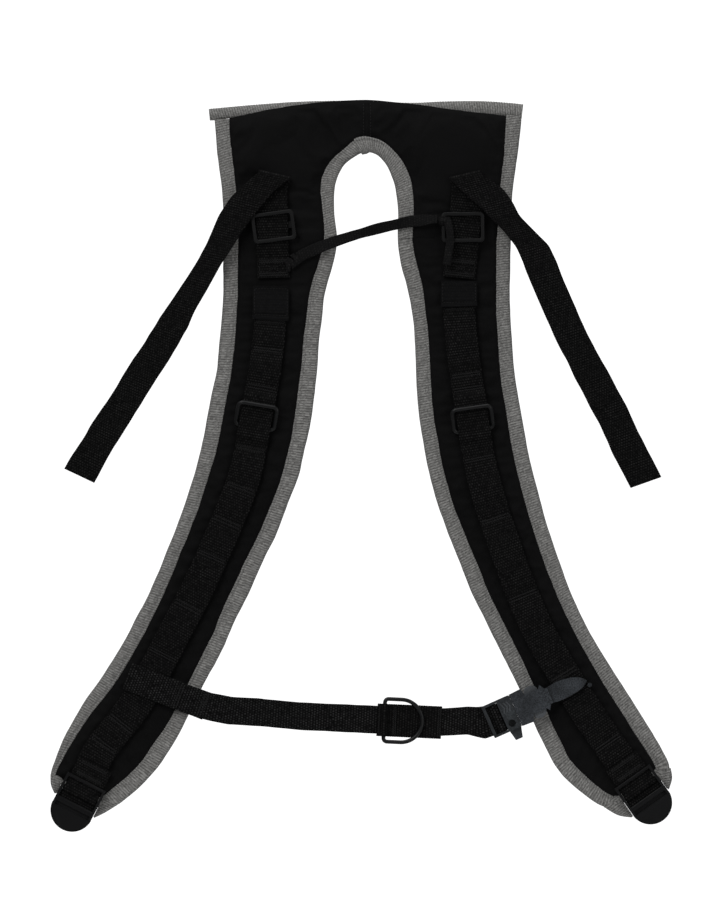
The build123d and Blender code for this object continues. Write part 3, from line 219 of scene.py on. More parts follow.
LIFTER_INNER = {  # their inner edges
    "left": [
        (-81.9, -64.4), (-98.1, -84.2), (-108.0, -97.2), (-117.9, -113.4),
        *down(-129.6, -128.7, -136.8, -144.9, -153.0, -159.3, -167.4, -175.5, -185.4, -194.4,
              -203.4, -212.4, -221.4, -230.4),
        (-243.0, -326.7),
    ],
    "right": [
        (93.8, -70.8), (106.1, -81.2), (114.6, -90.7), (122.4, -98.1), (129.6, -107.1),
        *down(-115.2, 135.9, 142.2, 147.6, 153.9, 160.2, 166.5, 172.8, 180.9, 187.2, 195.3,
              202.5, 210.6, 216.9, 223.2, 231.3, 238.5),
    ],
}
CORD_TOP = [  # upper edge of the neck cord, left to right
    (-63.5, -120.5), (-58.5, -116.1), (-35.1, -106.2), (-18.0, -100.8), (9.0, -93.2),
    (40.5, -86.6), (66.0, -84.5),
]
CORD_LOW = [  # lower edge of the neck cord, right to left
    (66.0, -93.0), (40.5, -95.4), (17.1, -100.8), (-6.3, -107.5), (-27.9, -114.8),
    (-53.1, -125.1), (-60.0, -130.0),
]
HELD_ROWS = {  # heights at which the padding is held down beside the ladders
    "left": (-150.5, -178.0, -209.0, -242.0, -295.5, -318.0, -353.0, -403.0, -438.0, -480.0,
             -537.0, -554.0),
    "right": (-150.5, -168.0, -209.0, -242.0, -295.5, -305.0, -359.0, -396.0, -440.0, -480.0,
              -560.0),
}
LADDER_ROWS = {  # heights of the stitched rows across the ladders, downwards
    "left": (-181.5, -207.0, -241.0, -296.0, -331.0, -362.0, -393.0, -438.0, -481.0, -543.0,
             -562.0),
    "right": (-169.0, -229.5, -242.0, -305.0, -359.0, -428.0, -499.0, -560.0),
}
LEVEL_ZONE = {"left": (-486.0, -531.0), "right": (-497.0, -527.0)}  # ladder level between these
PATCH_ENDS = {"left": (-149.8, -180.0), "right": (-144.8, -168.5)}  # top and foot
PATCH_HEAD = {"left": (-84.4, -140.0), "right": (84.6, -140.0)}  # the ladder line begun higher
ANCHOR_END = {"left": (-82.0, -142.5), "right": (84.6, -142.5)}


# ------------------------------------------------------------ lines and noise
def smooth(points, step):
    """The points joined by a Catmull-Rom curve, sampled about every step."""
    out = []
    last = len(points) - 1
    for i in range(last):
        quad = zip(points[max(i - 1, 0)], points[i], points[i + 1], points[min(i + 2, last)])
        quad = list(quad)
        count = max(1, round(math.dist(points[i], points[i + 1]) / step))
        for k in range(count):
            t = k / count
            out.append(tuple(
                0.5 * (2 * b + (c - a) * t + (2 * a - 5 * b + 4 * c - d) * t * t
                       + (3 * b - a - 3 * c + d) * t ** 3)
                for a, b, c, d in quad))
    return out + [points[-1]]


def lengths(points):
    """Distance travelled along a polyline at each of its points."""
    return np.concatenate([[0], np.cumsum(np.linalg.norm(np.diff(points, axis=0), axis=1))])


def girth(ring):
    """The same round a closed ring, with the way back to its start."""
    return lengths(np.vstack([ring, ring[:1]]))


def rows_at(where, travel, rows):
    """Rows interpolated at these distances."""
    return np.stack([np.interp(where, travel, column) for column in rows.T], 1)


def resample(points, step=None, count=None):
    """Evenly spaced points along a polyline, as an array."""
    points = np.array(points, float)
    gap = np.linalg.norm(np.diff(points, axis=0), axis=1)
    points = points[np.concatenate([[True], gap > 1e-6])]
    travel = lengths(points)
    count = count or max(2, int(round(travel[-1] / step)) + 1)
    return rows_at(np.linspace(0, travel[-1], count), travel, points)


def gauss(values, sigma):
    """A line of values or rows smoothed over sigma samples."""
    values = np.array(values, float)
    if sigma < 0.3:
        return values
    reach = int(3 * sigma) + 1
    kernel = np.exp(-0.5 * (np.arange(-reach, reach + 1) / sigma) ** 2)
    kernel /= kernel.sum()
    columns = values[:, None] if values.ndim == 1 else values
    padded = np.pad(columns, ((reach, reach), (0, 0)), mode="edge")
    out = np.stack([np.convolve(column, kernel, mode="valid") for column in padded.T], 1)
    return out[:, 0] if values.ndim == 1 else out


def unit(vectors):
    vectors = np.array(vectors, float)
    return vectors / np.maximum(np.linalg.norm(vectors, axis=-1, keepdims=True), 1e-12)


def normals2(points):
    """Left-hand normals of a 2-D polyline."""
    along = unit(np.gradient(points, axis=0))
    return np.stack([-along[:, 1], along[:, 0]], 1)


def section(points, step=3.4):
    return resample(smooth(points, 2.0), step=step)


def dedupe(points, gap):
    """The points without those that follow the last one kept by less than gap."""
    out = [points[0]]
    for point in points[1:]:
        if np.linalg.norm(point - out[-1]) > gap:
            out.append(point)
    return np.array(out)


def smoothstep(x, start, end):
    t = np.clip((np.asarray(x, float) - start) / (end - start), 0, 1)
    return t * t * (3 - 2 * t)


def bell(x, middle, width):
    return np.exp(-((x - middle) / width) ** 2)


def noise1(x, seed, scale):
    """Smooth repeatable noise in -1..1 at positions x, with this wavelength."""
    t = np.asarray(x, float) / scale
    cell = np.floor(t).astype(int)
    share = t - cell
    share = share * share * (3 - 2 * share)

    def value(k):
        v = np.sin(k * 127.1 + seed * 311.7) * 43758.5453
        return 2 * (v - np.floor(v)) - 1

    return value(cell) * (1 - share) + value(cell + 1) * share


def noise2(x, y, seed, scale):
    """Smooth repeatable noise in -1..1 over a plane."""
    u, v = np.asarray(x, float) / scale, np.asarray(y, float) / scale
    i, j = np.floor(u), np.floor(v)
    f, g = u - i, v - j
    f, g = f * f * (3 - 2 * f), g * g * (3 - 2 * g)

    def value(a, b):
        w = np.sin(a * 127.1 + b * 269.5 + seed * 53.3) * 43758.5453
        return 2 * (w - np.floor(w)) - 1

    low = value(i, j) * (1 - f) + value(i + 1, j) * f
    high = value(i, j + 1) * (1 - f) + value(i + 1, j + 1) * f
    return low * (1 - g) + high * g


def world(x, z, depth):
    """Rows of points (X, Y, Z) from X, Z and depth; also vectors, from their three shares."""
    x, z, depth = np.broadcast_arrays(*(np.asarray(v, float) for v in (x, z, depth)))
    return np.stack([x, -depth, z], -1)


def tilted_up(degrees):
    """The up direction turned anticlockwise as seen from the front."""
    angle = math.radians(degrees)
    return np.array([-math.sin(angle), 0, math.cos(angle)])


class Place:
    """A plane facing the front, its own x turned up from +X by some degrees."""

    def __init__(self, x, z, depth, degrees):
        angle = math.radians(degrees)
        self.origin = np.array([x, -depth, z])
        self.x = np.array([math.cos(angle), 0, math.sin(angle)])
        self.y = tilted_up(degrees)

    def at(self, x=0.0, y=0.0, front=0.0):
        """One point, or rows of points where a coordinate is an array."""
        x, y, front = (np.asarray(v, float)[..., None] for v in (x, y, front))
        return self.origin + self.x * x + self.y * y + FRONT * front


# hardware places, as in the CAD
CREASE = {"left": Place(-81.8, -51.1, 17.65, -12.9), "right": Place(90.2, -51.5, 17.65, 12.9)}
GLIDE = {"left": Place(-82.2, -96.3, 0, 7.5), "right": Place(88.0, -96.8, 0, 0.5)}
LOCK = {"left": Place(-256.0, -606.8, 13.5, -27.35), "right": Place(247.5, -601.3, 13.5, 35.45)}
BUCKLE_DEPTH = 16.5
BUCKLE = Place(135.2, -531.0, BUCKLE_DEPTH, 24.0)
CHEST_LOOP = Place(-195.5, -507.15, 0, -21.0)
STRAP_DEPTH = 15.85
STRAP = Place(40.05, -540.7, STRAP_DEPTH, -2.62)


# ------------------------------------------------------------ mesh building
# A mesh in the making is (points, faces, uvs), with one tuple of uvs to each face.
def join_meshes(parts):
    points, faces, uvs, base = [], [], [], 0
    for part_points, part_faces, part_uvs in parts:
        points.append(part_points)
        faces += [tuple(i + base for i in face) for face in part_faces]
        uvs += part_uvs
        base += len(part_points)
    return np.concatenate(points), faces, uvs


def tube(rings, u=None, v=None, closed=False):
    """Mesh through cross-sections, an array (n, m, 3), capped unless it closes on itself."""
    rings = np.asarray(rings, float)
    n, m = rings.shape[:2]
    if u is None:
        u = lengths(rings.mean(1))
    if v is None:
        v = girth(rings[0])
    faces, uvs = [], []
    for i in range(n if closed else n - 1):
        a, b = i * m, ((i + 1) % n) * m
        u_next = u[i + 1] if i + 1 < n else u[-1] + (u[-1] - u[-2])
        for j in range(m):
            k = (j + 1) % m
            faces.append((a + j, a + k, b + k, b + j))
            uvs.append(((u[i], v[j]), (u[i], v[j + 1]), (u_next, v[j + 1]), (u_next, v[j])))
    if not closed:
        faces.append(tuple(range(m))[::-1])
        uvs.append(tuple((u[0], v[j]) for j in range(m))[::-1])
        faces.append(tuple((n - 1) * m + j for j in range(m)))
        uvs.append(tuple((u[-1], v[j]) for j in range(m)))
    return rings.reshape(-1, 3), faces, uvs


def add_object(name, data):
    ob = bpy.data.objects.new(name, data)
    bpy.context.scene.collection.objects.link(ob)
    return ob


def place(ob, slot, body=None, replaces=(), blend=None):
    """Hides the pieces it replaces and hangs the piece on its body; with a blend its transform is
    only baked in. The slot is not used.
    """
    if replaces:
        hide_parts(*replaces)
    if blend:
        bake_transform(ob)
    elif body:
        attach(ob, body)


def make(name, mesh, material, slot, smooth_angle=50, **where):
    """A Blender piece from a mesh in millimetres; where goes on to place."""
    points, faces, uvs = mesh
    me = bpy.data.meshes.new(name)
    me.from_pydata((np.asarray(points) * MM).tolist(), [],
                   [tuple(int(i) for i in face) for face in faces])
    me.update()
    layer = me.uv_layers.new(name="UVMap")
    layer.data.foreach_set("uv", np.array([c for f in uvs for c in f], np.float32).ravel())
    bm = bmesh.new()
    bm.from_mesh(me)
    bmesh.ops.recalc_face_normals(bm, faces=bm.faces)
    bm.to_mesh(me)
    bm.free()
    me.polygons.foreach_set("use_smooth", [True] * len(me.polygons))
    me.set_sharp_from_angle(angle=math.radians(smooth_angle))
    ob = add_object(name, me)
    me.materials.append(material)
    place(ob, slot, **where)


def fold_blend(side):
    """The yoke above the fold, one pad below it, and points at the top and foot of the fold's band,
    in metres.
    """
    return ("yoke", side + "_pad",
            (0, 0, (FOLD_Z + FOLD_HALF) * MM), (0, 0, (FOLD_Z - FOLD_HALF) * MM))


def make_webbing(name, mesh, material=None, smooth_angle=75, **where):
    make(name, mesh, material or WEBBING, "black_webbing", smooth_angle, **where)


def make_thread(name, parts, **where):
    make(name, join_meshes(parts), THREAD, "thread", **where)


def make_tape(name, rings, travel, material, **where):
    """A folded grey tape through its cross-sections."""
    mesh = tube(rings, u=travel, v=girth(rings[len(rings) // 2]))
    make(name, mesh, material, "grey_binding", smooth_angle=60, **where)


def make_tape_stitches(name, points, pitch, **where):
    mesh = stitch_row(points, pitch, length=2.3, radius=0.24)
    make(name, mesh, GREY_THREAD, "grey_binding", **where)


# ------------------------------------------------------------ webbing and thread
def flat_section(half, thick, columns):
    """Points (across, up) round a flat strap's section, with soft edges."""
    inset = min(thick / 2, 0.9) * 0.9
    top = [(-half + inset + (2 * half - 2 * inset) * i / columns, thick / 2)
           for i in range(columns + 1)]
    right = [(half - inset + inset * math.cos(t), thick / 2 * math.sin(t))
             for t in (math.pi / 3, math.pi / 9, -math.pi / 9, -math.pi / 3)]
    bottom = [(x, -y) for x, y in top[::-1]]
    left = [(-x, y) for x, y in right[::-1]]
    return np.array(top + right + bottom + left)


def strap(centre, across, half=WEB_HALF, thick=WEB_THICK, rib=0.15, pitch=WEB_PITCH,
          columns=12, width=1.0, fuzz=0.0, seed=0):
    """Ribbed webbing along 3-D centre points, its width along the vector or vectors across.

    width scales the half width at each point; fuzz makes the edges uneven.
    """
    centre = np.asarray(centre, float)
    across = np.broadcast_to(unit(across), centre.shape)
    up = unit(np.cross(across, unit(np.gradient(centre, axis=0))))
    travel = lengths(centre)
    ring = flat_section(half, thick, columns)
    x, y = ring.T
    wave = np.cos(2 * math.pi * travel / pitch)[:, None]
    edge = np.clip(np.abs(x) / half, 0, 1)
    uneven = fuzz * noise1(travel, seed, 9.0)[:, None] * np.sign(x) * (edge > 0.9)
    aside = x * np.reshape(width, (-1, 1)) * (1 + 0.35 * rib * wave / half) + uneven
    height = y + rib * wave * np.sign(y) * (1 - 0.35 * edge ** 8)
    rings = (centre[:, None] + aside[..., None] * across[:, None]
             + height[..., None] * up[:, None])
    return tube(rings, u=travel, v=np.concatenate([x + half, [x[0] + half]]))


def along_line(points, depth, top, bottom, step=WEB_STEP, **kw):
    """Ribbed webbing along a falling centre line (X, Z) between two heights."""
    line = gauss(resample(smooth(points, 3), step=step), 6 / step)
    line = line[(line[:, 1] <= top) & (line[:, 1] >= bottom)]
    return strap(world(*line.T, depth(line)), world(*normals2(line).T, 0), **kw)


def stitch_row(points, pitch, length, radius):
    """Separate thread stitches along 3-D points, lying on a surface that looks to the front."""
    points = np.asarray(points, float)
    travel = lengths(points)
    share = np.array([0, 0.12, 0.5, 0.88, 1.0])
    raised = radius * np.array([-0.9, 0.25, 0.75, 0.25, -0.9])
    thick = radius * np.array([0.45, 0.95, 1.05, 0.95, 0.45])
    angle = np.linspace(0, 2 * math.pi, 6, endpoint=False)
    parts = []
    count = int(travel[-1] / pitch)
    for i in range(count):
        start = (i + 0.5) * travel[-1] / count - length / 2
        centre = rows_at(start + share * length, travel, points)
        side = unit(np.cross(FRONT, unit(centre[-1] - centre[0])))
        centre = centre + FRONT * raised[:, None]
        circle = np.outer(np.cos(angle), side) + np.outer(np.sin(angle), FRONT)
        parts.append(tube(centre[:, None] + thick[:, None, None] * circle))
    return join_meshes(parts)


def wire(points, radius, sides=5):
    """A round thread through 3-D points."""
    along = unit(np.gradient(points, axis=0))
    # tipped a little off the front so that it is never along the thread
    side = unit(np.cross(along, FRONT + np.array([1e-3, 0, 2e-3])))
    up = np.cross(along, side)
    angle = np.linspace(0, 2 * math.pi, sides, endpoint=False)[None, :, None]
    circle = np.cos(angle) * side[:, None] + np.sin(angle) * up[:, None]
    return tube(points[:, None] + radius * circle)


def bartack(centre, across, up, half, zig, count, radius):
    """A dense zigzag of thread across a webbing, lying on its front."""
    k = np.arange(2 * count + 1)
    x = -half + 2 * half * k / (2 * count)
    y = np.where(k % 2 == 0, -zig / 2, zig / 2)
    points = centre + np.outer(x, across) + np.outer(y, up) + FRONT * radius * 0.7
    return wire(resample(points, step=0.5), radius)


# ------------------------------------------------------------ materials
class Nodes:
    """A material's node tree with short calls. A value may be a number, a colour or a socket."""

    def __init__(self, name):
        self.material = bpy.data.materials.new(name)
        self.material.use_nodes = True
        self.tree = self.material.node_tree
        self.shader = self.tree.nodes["Principled BSDF"]

    def feed(self, socket, value):
        if isinstance(value, bpy.types.NodeSocket):
            self.tree.links.new(value, socket)
        else:
            socket.default_value = (*value, 1) if isinstance(value, tuple) else value

    def new(self, kind, inputs=(), **settings):
        node = self.tree.nodes.new(kind)
        for key, value in settings.items():
            setattr(node, key, value)
        for key, value in dict(inputs).items():
            self.feed(node.inputs[key], value)
        return node

    def math(self, operation, *values):
        inputs = dict(enumerate(values))
        return self.new("ShaderNodeMath", inputs, operation=operation).outputs[0]

    def plus(self, a, b):
        return self.math("ADD", a, b)

    def times(self, a, b):
        return self.math("MULTIPLY", a, b)

    def bumps(self, x, period):
        """|sin|: one rounded bump, 0..1, to each period."""
        return self.math("ABSOLUTE", self.math("SINE", self.times(x, math.pi / period)))

    def object_place(self):
        return self.new("ShaderNodeTexCoord").outputs["Object"]

    def split(self, vector):
        return self.new("ShaderNodeSeparateXYZ", {0: vector}).outputs

    def uv_mm(self):
        """U along and V across a strap, in millimetres."""
        parts = self.split(self.new("ShaderNodeUVMap").outputs[0])
        return parts[0], parts[1]

    def ramp(self, x, *stops):
        """Colours at stops of (position, colour)."""
        node = self.new("ShaderNodeValToRGB", {0: x})
        elements = node.color_ramp.elements
        while len(elements) < len(stops):
            elements.new(0.5)
        for element, (position, color) in zip(elements, stops):
            element.position = position
            element.color = (*color, 1)
        return node.outputs[0]

    def mix(self, share, first, second, blend="MIX"):
        inputs = {0: share, 1: first, 2: second}
        return self.new("ShaderNodeMixRGB", inputs, blend_type=blend).outputs[0]

    def noise(self, vector, scale, detail=3.0, rough=0.5):
        inputs = {"Scale": scale, "Detail": detail, "Roughness": rough, "Vector": vector}
        return self.new("ShaderNodeTexNoise", inputs).outputs[0]

    def bump(self, height, strength, distance, under=None):
        """Bumps of this height in metres, laid over those under them."""
        node = self.new("ShaderNodeBump",
                        {"Strength": strength, "Distance": distance, "Height": height})
        if under is not None:
            self.feed(node.inputs["Normal"], under)
        return node.outputs[0]

    def surface(self, color, roughness, normal, specular=0.5):
        inputs = {"Base Color": color, "Roughness": roughness,
                  "Specular IOR Level": specular, "Normal": normal}
        for key, value in inputs.items():
            self.feed(self.shader.inputs[key], value)
        return self.material


def cell_noise(mat, x, y, width, height, shift=0.0):
    """Brightness of one thread cell, 0..1."""
    column = mat.math("FLOOR", mat.math("DIVIDE", x, width))
    row = mat.math("FLOOR", mat.plus(mat.math("DIVIDE", y, height), shift))
    cell = mat.new("ShaderNodeCombineXYZ", {0: column, 1: row}).outputs[0]
    node = mat.new("ShaderNodeTexWhiteNoise", noise_dimensions="2D")
    mat.feed(node.inputs["Vector"], cell)
    return node.outputs["Value"]


def weave(mat, x, y, pitch_x, pitch_y):
    """Height of a plain weave, 0..1."""
    warp, weft = mat.bumps(x, pitch_x), mat.bumps(y, pitch_y)
    column = mat.math("FLOOR", mat.math("DIVIDE", x, pitch_x))
    row = mat.math("FLOOR", mat.math("DIVIDE", y, pitch_y))
    odd = mat.math("MODULO", mat.math("ABSOLUTE", mat.plus(column, row)), 2.0)
    even = mat.math("SUBTRACT", 1.0, odd)
    return mat.plus(mat.times(warp, odd), mat.times(weft, even))


def fabric_material():
    """Black nylon pack cloth: fine plain weave with broad uneven patches."""
    mat = Nodes("black_nylon")
    spot = mat.object_place()
    parts = mat.split(spot)
    x, z = mat.times(parts[0], 1000.0), mat.times(parts[2], 1000.0)
    threads = weave(mat, x, z, pitch_x=0.55, pitch_y=0.62)
    patches = mat.noise(spot, scale=26.0, detail=4.0)
    fine = mat.noise(spot, scale=900.0, detail=2.0)
    color = mat.ramp(patches, (0.3, (0.0022, 0.0022, 0.0023)), (0.7, (0.0038, 0.0037, 0.0039)))
    glint = mat.times(mat.times(threads, fine), 0.5)
    color = mat.mix(glint, color, (0.0035, 0.0035, 0.0036), blend="ADD")
    normal = mat.bump(threads, strength=0.5, distance=0.00012)
    creases = mat.noise(spot, scale=160.0, detail=5.0)
    normal = mat.bump(creases, strength=0.35, distance=0.0006, under=normal)
    return mat.surface(color, mat.plus(mat.times(patches, 0.14), 0.68), normal, specular=0.09)


def mesh_material():
    """Black spacer mesh of the wearer's side: rows of round holes."""
    mat = Nodes("spacer_mesh")
    cells = mat.new("ShaderNodeTexVoronoi",
                    {"Scale": 430.0, "Randomness": 0.12, "Vector": mat.object_place()})
    solid = mat.ramp(cells.outputs["Distance"], (0.22, (0, 0, 0)), (0.42, (1, 1, 1)))
    color = mat.mix(solid, (0.002, 0.002, 0.002), (0.018, 0.018, 0.019))
    normal = mat.bump(solid, strength=0.9, distance=0.0005)
    return mat.surface(color, 0.85, normal, specular=0.25)


def binding_material(name, rib_pitch, rib_strength):
    """Grey polyester tape: light and dark threads in a fine twill, with cross ribs."""
    mat = Nodes(name)
    u, v = mat.uv_mm()
    skew = mat.plus(u, mat.times(v, 0.6))
    threads = cell_noise(mat, skew, v, width=0.85, height=0.7)
    blocks = cell_noise(mat, u, v, width=1.7, height=1.25, shift=0.37)
    patches = mat.noise(mat.object_place(), scale=60.0, detail=4.0)
    lines = mat.bumps(mat.plus(u, mat.times(v, 0.22)), 2.3)
    small = mat.plus(mat.times(blocks, 0.12), mat.times(patches, 0.04))
    tone = mat.plus(mat.times(lines, 0.32), mat.plus(mat.times(threads, 0.30), small))
    color = mat.ramp(tone, (0.12, (0.085, 0.084, 0.080)), (0.45, (0.215, 0.212, 0.205)),
                     (0.82, (0.46, 0.455, 0.44)))
    mat.feed(mat.shader.inputs["Sheen Weight"], 0.12)
    mat.feed(mat.shader.inputs["Sheen Roughness"], 0.5)
    normal = mat.bump(mat.bumps(u, rib_pitch), rib_strength, distance=0.0004)
    twill = weave(mat, skew, v, pitch_x=0.42, pitch_y=0.35)
    normal = mat.bump(twill, strength=0.6, distance=0.0002, under=normal)
    normal = mat.bump(threads, strength=0.35, distance=0.0002, under=normal)
    return mat.surface(color, 0.78, normal, specular=0.25)


def webbing_material(name, low=(0.0009, 0.0009, 0.0010), high=(0.024, 0.0235, 0.023),
                     rough=0.74):
    """Black webbing: cross ribs of doubled threads, a few threads catching the light."""
    row_pitch = 2.4
    mat = Nodes(name)
    u, v = mat.uv_mm()
    fine = cell_noise(mat, u, v, width=1.1, height=0.9)
    coarse = cell_noise(mat, u, v, width=2.2, height=1.8, shift=0.5)
    glint = mat.math("POWER", fine, 3.0)
    row = mat.math("FLOOR", mat.times(u, 1 / row_pitch))
    dash = mat.bumps(mat.plus(v, mat.times(row, 1.15)), 2.3)
    lane = mat.bumps(u, row_pitch)
    dots = mat.times(mat.math("POWER", dash, 2.0), mat.math("POWER", lane, 2.0))
    rib = mat.bumps(u, 1.1)
    thread = mat.bumps(mat.plus(v, mat.times(u, 0.4)), 0.9)
    bright = mat.times(dots, mat.plus(mat.times(coarse, 0.9), mat.times(glint, 0.8)))
    height = mat.times(rib, mat.plus(mat.times(thread, 0.5), 0.5))
    return mat.surface(
        mat.mix(bright, low, high), mat.math("SUBTRACT", rough, mat.times(glint, 0.2)),
        mat.bump(height, strength=0.75, distance=0.0004), specular=0.08)


def plastic_material(name, color, rough, grain=0.25, speckle=0.0, specular=0.3):
    """Moulded nylon: a fine eroded grain, lighter edges (a painted edge highlight together with
    rubbed wear), mottled by speckle.
    """
    mat = Nodes(name)
    spot = mat.object_place()
    pointy = mat.new("ShaderNodeNewGeometry").outputs["Pointiness"]
    patches = mat.noise(spot, scale=45.0, detail=5.0, rough=0.6)
    fine = mat.noise(spot, scale=1800.0)
    # convex edges lightened in the colour: a painted edge highlight, together with rubbed wear
    edge = mat.ramp(pointy, (0.51, (0, 0, 0)), (0.60, (1, 1, 1)))
    edge_highlight_and_wear = mat.times(edge, mat.plus(mat.times(patches, 0.8), 0.1))
    tint = mat.mix(edge_highlight_and_wear, color, tuple(min(1, c * 2.3) for c in color))
    if speckle:
        mottle = mat.ramp(mat.noise(spot, scale=1000.0, rough=0.6),
                          (0.36, (1 - speckle,) * 3), (0.64, (1 + speckle,) * 3))
        wide = mat.ramp(mat.noise(spot, scale=75.0, detail=2.0),
                        (0.38, (0.82,) * 3), (0.62, (1.18,) * 3))
        for shade in (mottle, wide):
            tint = mat.mix(1.0, tint, shade, blend="MULTIPLY")
    return mat.surface(tint, mat.plus(mat.times(patches, 0.16), rough - 0.08),
                       mat.bump(fine, grain, distance=0.00008), specular)


def thread_material(name, color):
    """Twisted sewing thread, with painted shade in the grooves of its twist."""
    mat = Nodes(name)
    u, v = mat.uv_mm()
    twist = mat.math("SINE", mat.times(mat.plus(u, mat.times(v, 0.8)), 9.0))
    # darker colour where the twist is low, in its grooves: painted shade
    share = mat.plus(mat.times(twist, 0.5), 0.5)
    tint = mat.mix(share, tuple(c * 0.6 for c in color), color)
    return mat.surface(tint, 0.6, mat.bump(twist, strength=0.4, distance=0.0002), specular=0.35)


FABRIC = fabric_material()
MESH = mesh_material()
BINDING = binding_material("grey_tape", rib_pitch=2.0, rib_strength=0.35)
TOP_BINDING = binding_material("grey_ribbed_tape", rib_pitch=2.4, rib_strength=0.8)
WEBBING = webbing_material("black_webbing_weave")
CHEST_WEB = webbing_material(
    "chest_webbing_weave", low=(0.001, 0.001, 0.0011), high=(0.042, 0.042, 0.042))
PATCH_CLOTH = webbing_material(
    "smooth_tab_cloth", low=(0.003, 0.003, 0.0033), high=(0.008, 0.008, 0.0084), rough=0.68)
PLASTIC = plastic_material(
    "black_moulded_nylon", (0.0036, 0.0037, 0.004), rough=0.42, specular=0.16)
PLASTIC_DARK = plastic_material(
    "black_matt_nylon", (0.0040, 0.0041, 0.0043), rough=0.42, specular=0.24)
PLASTIC_PLUG = plastic_material(
    "grey_black_nylon", (0.020, 0.0225, 0.025), rough=0.32, specular=0.42, speckle=0.4)
PLASTIC_LATCH = plastic_material(
    "grey_latch_nylon", (0.055, 0.059, 0.064), rough=0.3, speckle=0.25)
PLASTIC_GLOSS = plastic_material(
    "black_polished_nylon", (0.021, 0.0235, 0.027), rough=0.25, grain=0.12, specular=0.5,
    speckle=0.5)
WIRE = plastic_material("black_coated_wire", (0.0045, 0.0048, 0.0052), rough=0.36, grain=0.1)
THREAD = thread_material("black_thread", (0.007, 0.007, 0.0075))
GREY_THREAD = thread_material("grey_thread", (0.26, 0.255, 0.25))
CORD = webbing_material(
    "black_cord_weave", low=(0.005, 0.005, 0.0053), high=(0.017, 0.0165, 0.016))

# ------------------------------------------------------------ the padding's flat plan
GRID_PITCH = 3.9
OUTER_R = YOKE_R + PAD_R_A[1:]
OUTER_L = YOKE_L + PAD_L_A[1:]
INNER = PAD_R_B[::-1] + NECK[::-1][1:] + PAD_L_B[1:]


def closed_outline():
    """The padding's outline, its first point repeated at the end."""
    raised_top = [(x, z + 1.5 * math.exp(-((x - 12) / 42.0) ** 2)) for x, z in TOP_EDGE]
    sides = (raised_top, OUTER_R, TIP_R, INNER, TIP_L, OUTER_L[::-1])
    loop = dedupe(np.concatenate([section(side) for side in sides]), 1.2)
    if np.linalg.norm(loop[0] - loop[-1]) < 1.2:
        loop = loop[:-1]
    return np.vstack([loop, loop[:1]])


def distance_to(points, line):
    best = np.full(len(points), 1e9)
    for start, end in zip(line[:-1], line[1:]):
        way = end - start
        t = np.clip(((points - start) @ way) / max(way @ way, 1e-9), 0, 1)
        gap = np.linalg.norm(points - (start + t[:, None] * way), axis=1)
        best = np.minimum(best, gap)
    return best


def inside(points, outline):
    x, y = points.T
    odd = np.zeros(len(points), bool)
    for (xj, yj), (xi, yi) in zip(outline[:-1], outline[1:]):
        odd ^= ((yi > y) != (yj > y)) & (x < (xj - xi) * (y - yi) / ((yj - yi) or 1e-9) + xi)
    return odd


def plan_mesh(outline):
    """The outline filled with even triangles: points (X, Z) and faces."""
    xs = np.arange(-284, 268, GRID_PITCH)
    zs = np.arange(-615, 20, GRID_PITCH * math.sqrt(3) / 2)
    grid_x, grid_z = np.meshgrid(xs, zs)
    grid_x = grid_x + (np.arange(len(zs)) % 2)[:, None] * GRID_PITCH / 2
    grid = np.stack([grid_x.ravel(), grid_z.ravel()], 1)
    grid = grid[inside(grid, outline)]
    grid = grid[distance_to(grid, outline) > 1.9]
    loop = outline[:-1]
    points = [Vector(p) for p in np.concatenate([loop, grid])]
    filled = delaunay_2d_cdt(points, [], [list(range(len(loop)))], 1, 1e-6)
    return (np.array([[v.x, v.y] for v in filled[0]]),
            [tuple(face) for face in filled[2] if len(face) == 3])


OUTLINE = closed_outline()
flat, triangles = plan_mesh(OUTLINE)


# ------------------------------------------------------------ the padding: one crowned form
def simulate(points, faces, pins):
    """Blender's cloth blown up on a closed mesh; returns the points after it."""
    frames, stiffness = 16, 8.0
    me = bpy.data.meshes.new("sim")
    me.from_pydata((points * MM).tolist(), [], faces)
    me.update()
    ob = add_object("sim", me)
    ob.vertex_groups.new(name="pin").add([int(i) for i in np.nonzero(pins)[0]], 1.0, "REPLACE")
    mod = ob.modifiers.new("Cloth", "CLOTH")
    cloth = mod.settings
    cloth.quality = 4
    cloth.mass = 0.25
    cloth.tension_stiffness = cloth.compression_stiffness = stiffness
    cloth.shear_stiffness = stiffness * 0.6
    cloth.bending_stiffness = 0.08
    cloth.vertex_group_mass = "pin"
    cloth.use_pressure = True
    cloth.uniform_pressure_force = 5.0
    cloth.shrink_min = -0.03  # negative: the cloth grows
    cloth.effector_weights.gravity = 0.0
    cloth.time_scale = 0.6
    mod.collision_settings.use_collision = False
    mod.point_cache.frame_start = 1
    mod.point_cache.frame_end = frames + 2
    scene = bpy.context.scene
    scene.frame_start, scene.frame_end = 1, frames + 2
    for frame_number in range(1, frames + 1):
        scene.frame_set(frame_number)
    shown = ob.evaluated_get(bpy.context.evaluated_depsgraph_get())
    out = np.empty(len(points) * 3, np.float32)
    shown.data.vertices.foreach_get("co", out)
    out = out.reshape(-1, 3) / MM
    bpy.data.objects.remove(ob)
    bpy.data.meshes.remove(me)
    scene.frame_set(1)
    return out.astype(float)


def closed_padding_faces(front):
    """Front and back triangles and the wall between them, wound alike."""
    count = len(flat)
    edges = [edge for face in triangles for edge in zip(face, face[1:] + face[:1])]
    uses = Counter(tuple(sorted(edge)) for edge in edges)
    rim = [edge for edge in edges if uses[tuple(sorted(edge))] == 1]
    faces = [face[::-1] for face in triangles]
    faces += [tuple(i + count for i in face) for face in triangles]
    faces += [(a, b, b + count, a + count) for a, b in rim]
    a, b, c = front[list(triangles[0])]
    if np.cross(b - a, c - a)[1] < 0:  # the first list of faces must look to the front
        faces = [face[::-1] for face in faces]
    return faces


